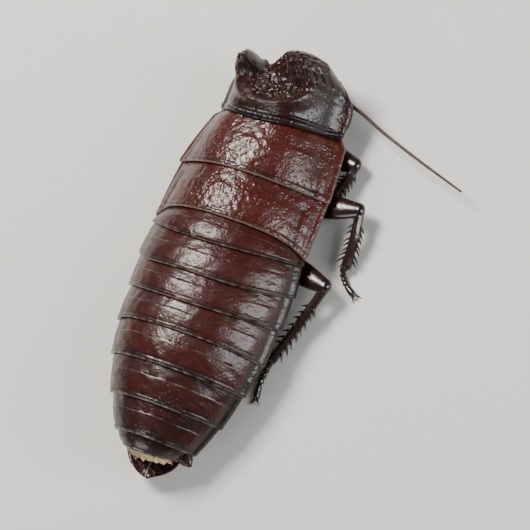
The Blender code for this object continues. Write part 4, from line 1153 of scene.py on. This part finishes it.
def build_tibia(leg, knee, ankle, material):
    """A shin with rows of long spines along it and a ring of spurs at the ankle."""
    shape = Shape()
    side = -1 if leg.endswith("r") else 1
    knee, ankle = np.array(knee, float), np.array(ankle, float)
    bend = knee + (ankle - knee) * 0.5 + np.array([side * 0.25, 0.0, 0.1])
    path = smooth_path([knee, bend, ankle], TIBIA_RINGS)
    t = np.linspace(0, 1, TIBIA_RINGS)
    radii = profile(TIBIA_WIDTHS, TIBIA_RINGS) * TIBIA_RADIUS

    def relief(s, angles):
        return 1 + 0.06 * np.cos(4 * angles) - 0.05 * bump(s, 0.07, 0.03)

    dark = 0.55 * (1 - smooth_step(t, 0.0, 0.12)) + 0.5 * smooth_step(t, 0.9, 1.0)
    add_tube(shape, path, radii, radii, 28, dark=dark, relief=relief)
    along = to_unit(ankle - knee)
    outward = to_unit(np.cross(along, UP))
    draw = np.random.default_rng(sorted(LEGS).index(leg) + 1)
    per_row = SPINES_PER_ROW[leg.split("_")[0]]
    for row, rise in SPINE_ROWS:
        for k in range(per_row):
            s = 0.26 + 0.62 * (k + 0.4 * draw.random()) / max(per_row - 1, 1)
            place = path[int(min(s, 0.97) * (TIBIA_RINGS - 1))]
            out = to_unit(outward * row + UP * rise)
            aim = out + along * (0.75 if rise > 0 else 0.9)
            long = SPINE_LENGTH * (0.65 + 0.35 * s) * (0.85 + 0.25 * draw.random())
            if aim[2] < 0:
                room = (place[2] - 0.25) / max(-to_unit(aim)[2], 0.001)
                long = min(long, max(0.5, room))
            root = place + out * TIBIA_RADIUS * 0.72
            add_spike(shape, root, aim, long * 0.78, SPINE_RADIUS, along * 0.16)
    for turn in SPUR_TURNS:
        out = outward * math.cos(turn) + UP * math.sin(turn) * 0.8
        long = 1.15 if out[2] > -0.3 else 0.8
        add_spike(shape, path[-3] + out * TIBIA_RADIUS * 0.75, along + out * 0.45, long, SPINE_RADIUS * 0.9)
    add_bristles(shape, path, radii, 40, 7 + sum(map(ord, leg)))
    shape.keep_over(0.05)
    shape.piece("leg_tibia_" + leg, material, "leg_shell", "tibia_" + leg)


def build_tarsus(leg, ankle, foot, material, pad_material):
    """Five small joints with pads below, a pad between the claws and two hooked claws."""
    last = TARSUS_RINGS - 1
    path = smooth_path([ankle, *foot], TARSUS_RINGS)
    radii = jointed(TARSUS_RINGS, TARSOMERES, TARSUS_RADIUS * 1.08, TARSUS_RADIUS * 0.55, 0.5)
    shape, pads = Shape(), Shape()
    dark = 0.2 + 0.3 * smooth_step(np.linspace(0, 1, TARSUS_RINGS), 0.9, 1.0)
    add_tube(shape, path, radii, radii, 22, dark=dark)
    tip = path[-1]
    along = to_unit(tip - path[-6])
    side = to_unit(np.cross(along, UP))
    for s in (-1, 1):
        root = tip - along * 0.2 + side * s * 0.16
        aim = along * 0.9 + side * s * 0.5 + UP * 0.28
        add_spike(shape, root, aim, CLAW_LENGTH * 0.95, 0.17, along * 0.1 - UP * 0.42, collar=1.2)
    add_bristles(shape, path, radii, 34, 11 + sum(map(ord, leg)), 0.32)
    shape.keep_over(0.0)
    shape.piece("leg_tarsus_" + leg, material, "leg_shell", "tarsus_" + leg)
    for stop in TARSOMERES[1:-1]:
        x, y, z = path[int(stop * last) - 3]
        add_ball(pads, (x, y, max(z - TARSUS_RADIUS * 0.62, PAD_RADII[2])), PAD_RADII, 20, 12)
    x, y, _ = tip + along * 0.42
    add_ball(pads, (x, y, 0.3), TOE_PAD_RADII, 20, 12)
    pads.keep_over(0.0)
    pads.piece("leg_pads_" + leg, pad_material, "leg_shell")


# Camera, light and floor

def build_camera():
    back = Vector(CAMERA_BACK).normalized()
    right = Vector(CAMERA_RIGHT)
    right = (right - back * right.dot(back)).normalized()
    up = back.cross(right)
    turn = Matrix((right, up, back)).transposed()
    data = bpy.data.cameras.new("camera")
    data.lens = CAMERA_LENS
    data.sensor_width = 36.0
    data.clip_start, data.clip_end = 0.01, 10.0
    camera = bpy.data.objects.new("camera", data)
    place = [(CAMERA_PLACE[i] - (ORIGIN_X, ORIGIN_Y, 0.0)[i]) * MM for i in range(3)]
    camera.matrix_world = Matrix.Translation(place) @ turn.to_4x4()
    bpy.context.scene.collection.objects.link(camera)
    bpy.context.scene.camera = camera


def softbox(name, direction, distance, size, power, colour):
    """A large lamp that faces the animal."""
    data = bpy.data.lights.new(name, "AREA")
    data.shape = "RECTANGLE"
    data.size, data.size_y = size
    data.energy = power
    data.color = colour
    lamp = bpy.data.objects.new(name, data)
    away = Vector(direction).normalized()
    lamp.location = away * distance
    lamp.rotation_mode = "QUATERNION"
    lamp.rotation_quaternion = away.to_track_quat("Z", "Y")
    bpy.context.scene.collection.objects.link(lamp)


def build_studio():
    mesh = bpy.data.meshes.new("floor")
    reach = 2.0
    mesh.from_pydata([(-reach, -reach, 0), (reach, -reach, 0), (reach, reach, 0), (-reach, reach, 0)], [],
                     [(0, 1, 2, 3)])
    mesh.materials.append(floor_finish())
    floor = bpy.data.objects.new("floor", mesh)
    floor.location = (0.0, 0.0, -0.00002)
    bpy.context.scene.collection.objects.link(floor)
    world = bpy.data.worlds.new("studio")
    world.use_nodes = True
    inputs = world.node_tree.nodes["Background"].inputs
    inputs["Color"].default_value = WORLD_COLOUR
    inputs["Strength"].default_value = WORLD_STRENGTH
    bpy.context.scene.world = world
    for name, lamp in SOFTBOXES.items():
        softbox(name, *lamp)


def build():
    build_camera()
    build_studio()
    finish = {name: shell_finish(name + "_finish", *looks) for name, looks in FINISHES.items()}
    membrane = membrane_finish()
    build_shield(finish["pronotum"])
    shield, plates = lay_out(PLATE_COLUMNS, step=FINE_STEP)
    before = shield
    for index, plate in enumerate(plates):
        region = "thorax" if plate.name in THORAX_PLATES else "abdomen"
        slot = "tail_shell" if plate.name == "supra_anal_plate" else region + "_shell"
        build_plate(plate, before, index, finish[region], slot)
        before = plate
    shield, plates = lay_out(CORE_COLUMNS, CORE_REACH)
    belly = finish["belly"]
    build_core("thorax_underside", shield, plates, "pronotum", "metanotum", THORAX_BELLY_Z, 2.0, belly)
    build_core("abdomen_underside", shield, plates, "tergite_1", "tergite_7", BELLY_Z, 3.0, belly)
    build_tail(finish["abdomen"], membrane)
    build_head(finish["head"], finish["pad"], eye_finish())
    build_mouth(finish["head"], finish["leg"], finish["palp"])
    for label in FEELERS:
        build_feeler(label, finish["feeler"])
    for leg, (root, hip, knee, ankle, foot) in LEGS.items():
        build_coxa(leg, root, hip, finish["leg"])
        build_femur(leg, hip, knee, finish["leg"])
        build_tibia(leg, knee, ankle, finish["leg"])
        build_tarsus(leg, ankle, foot, finish["leg"], finish["pad"])


build()
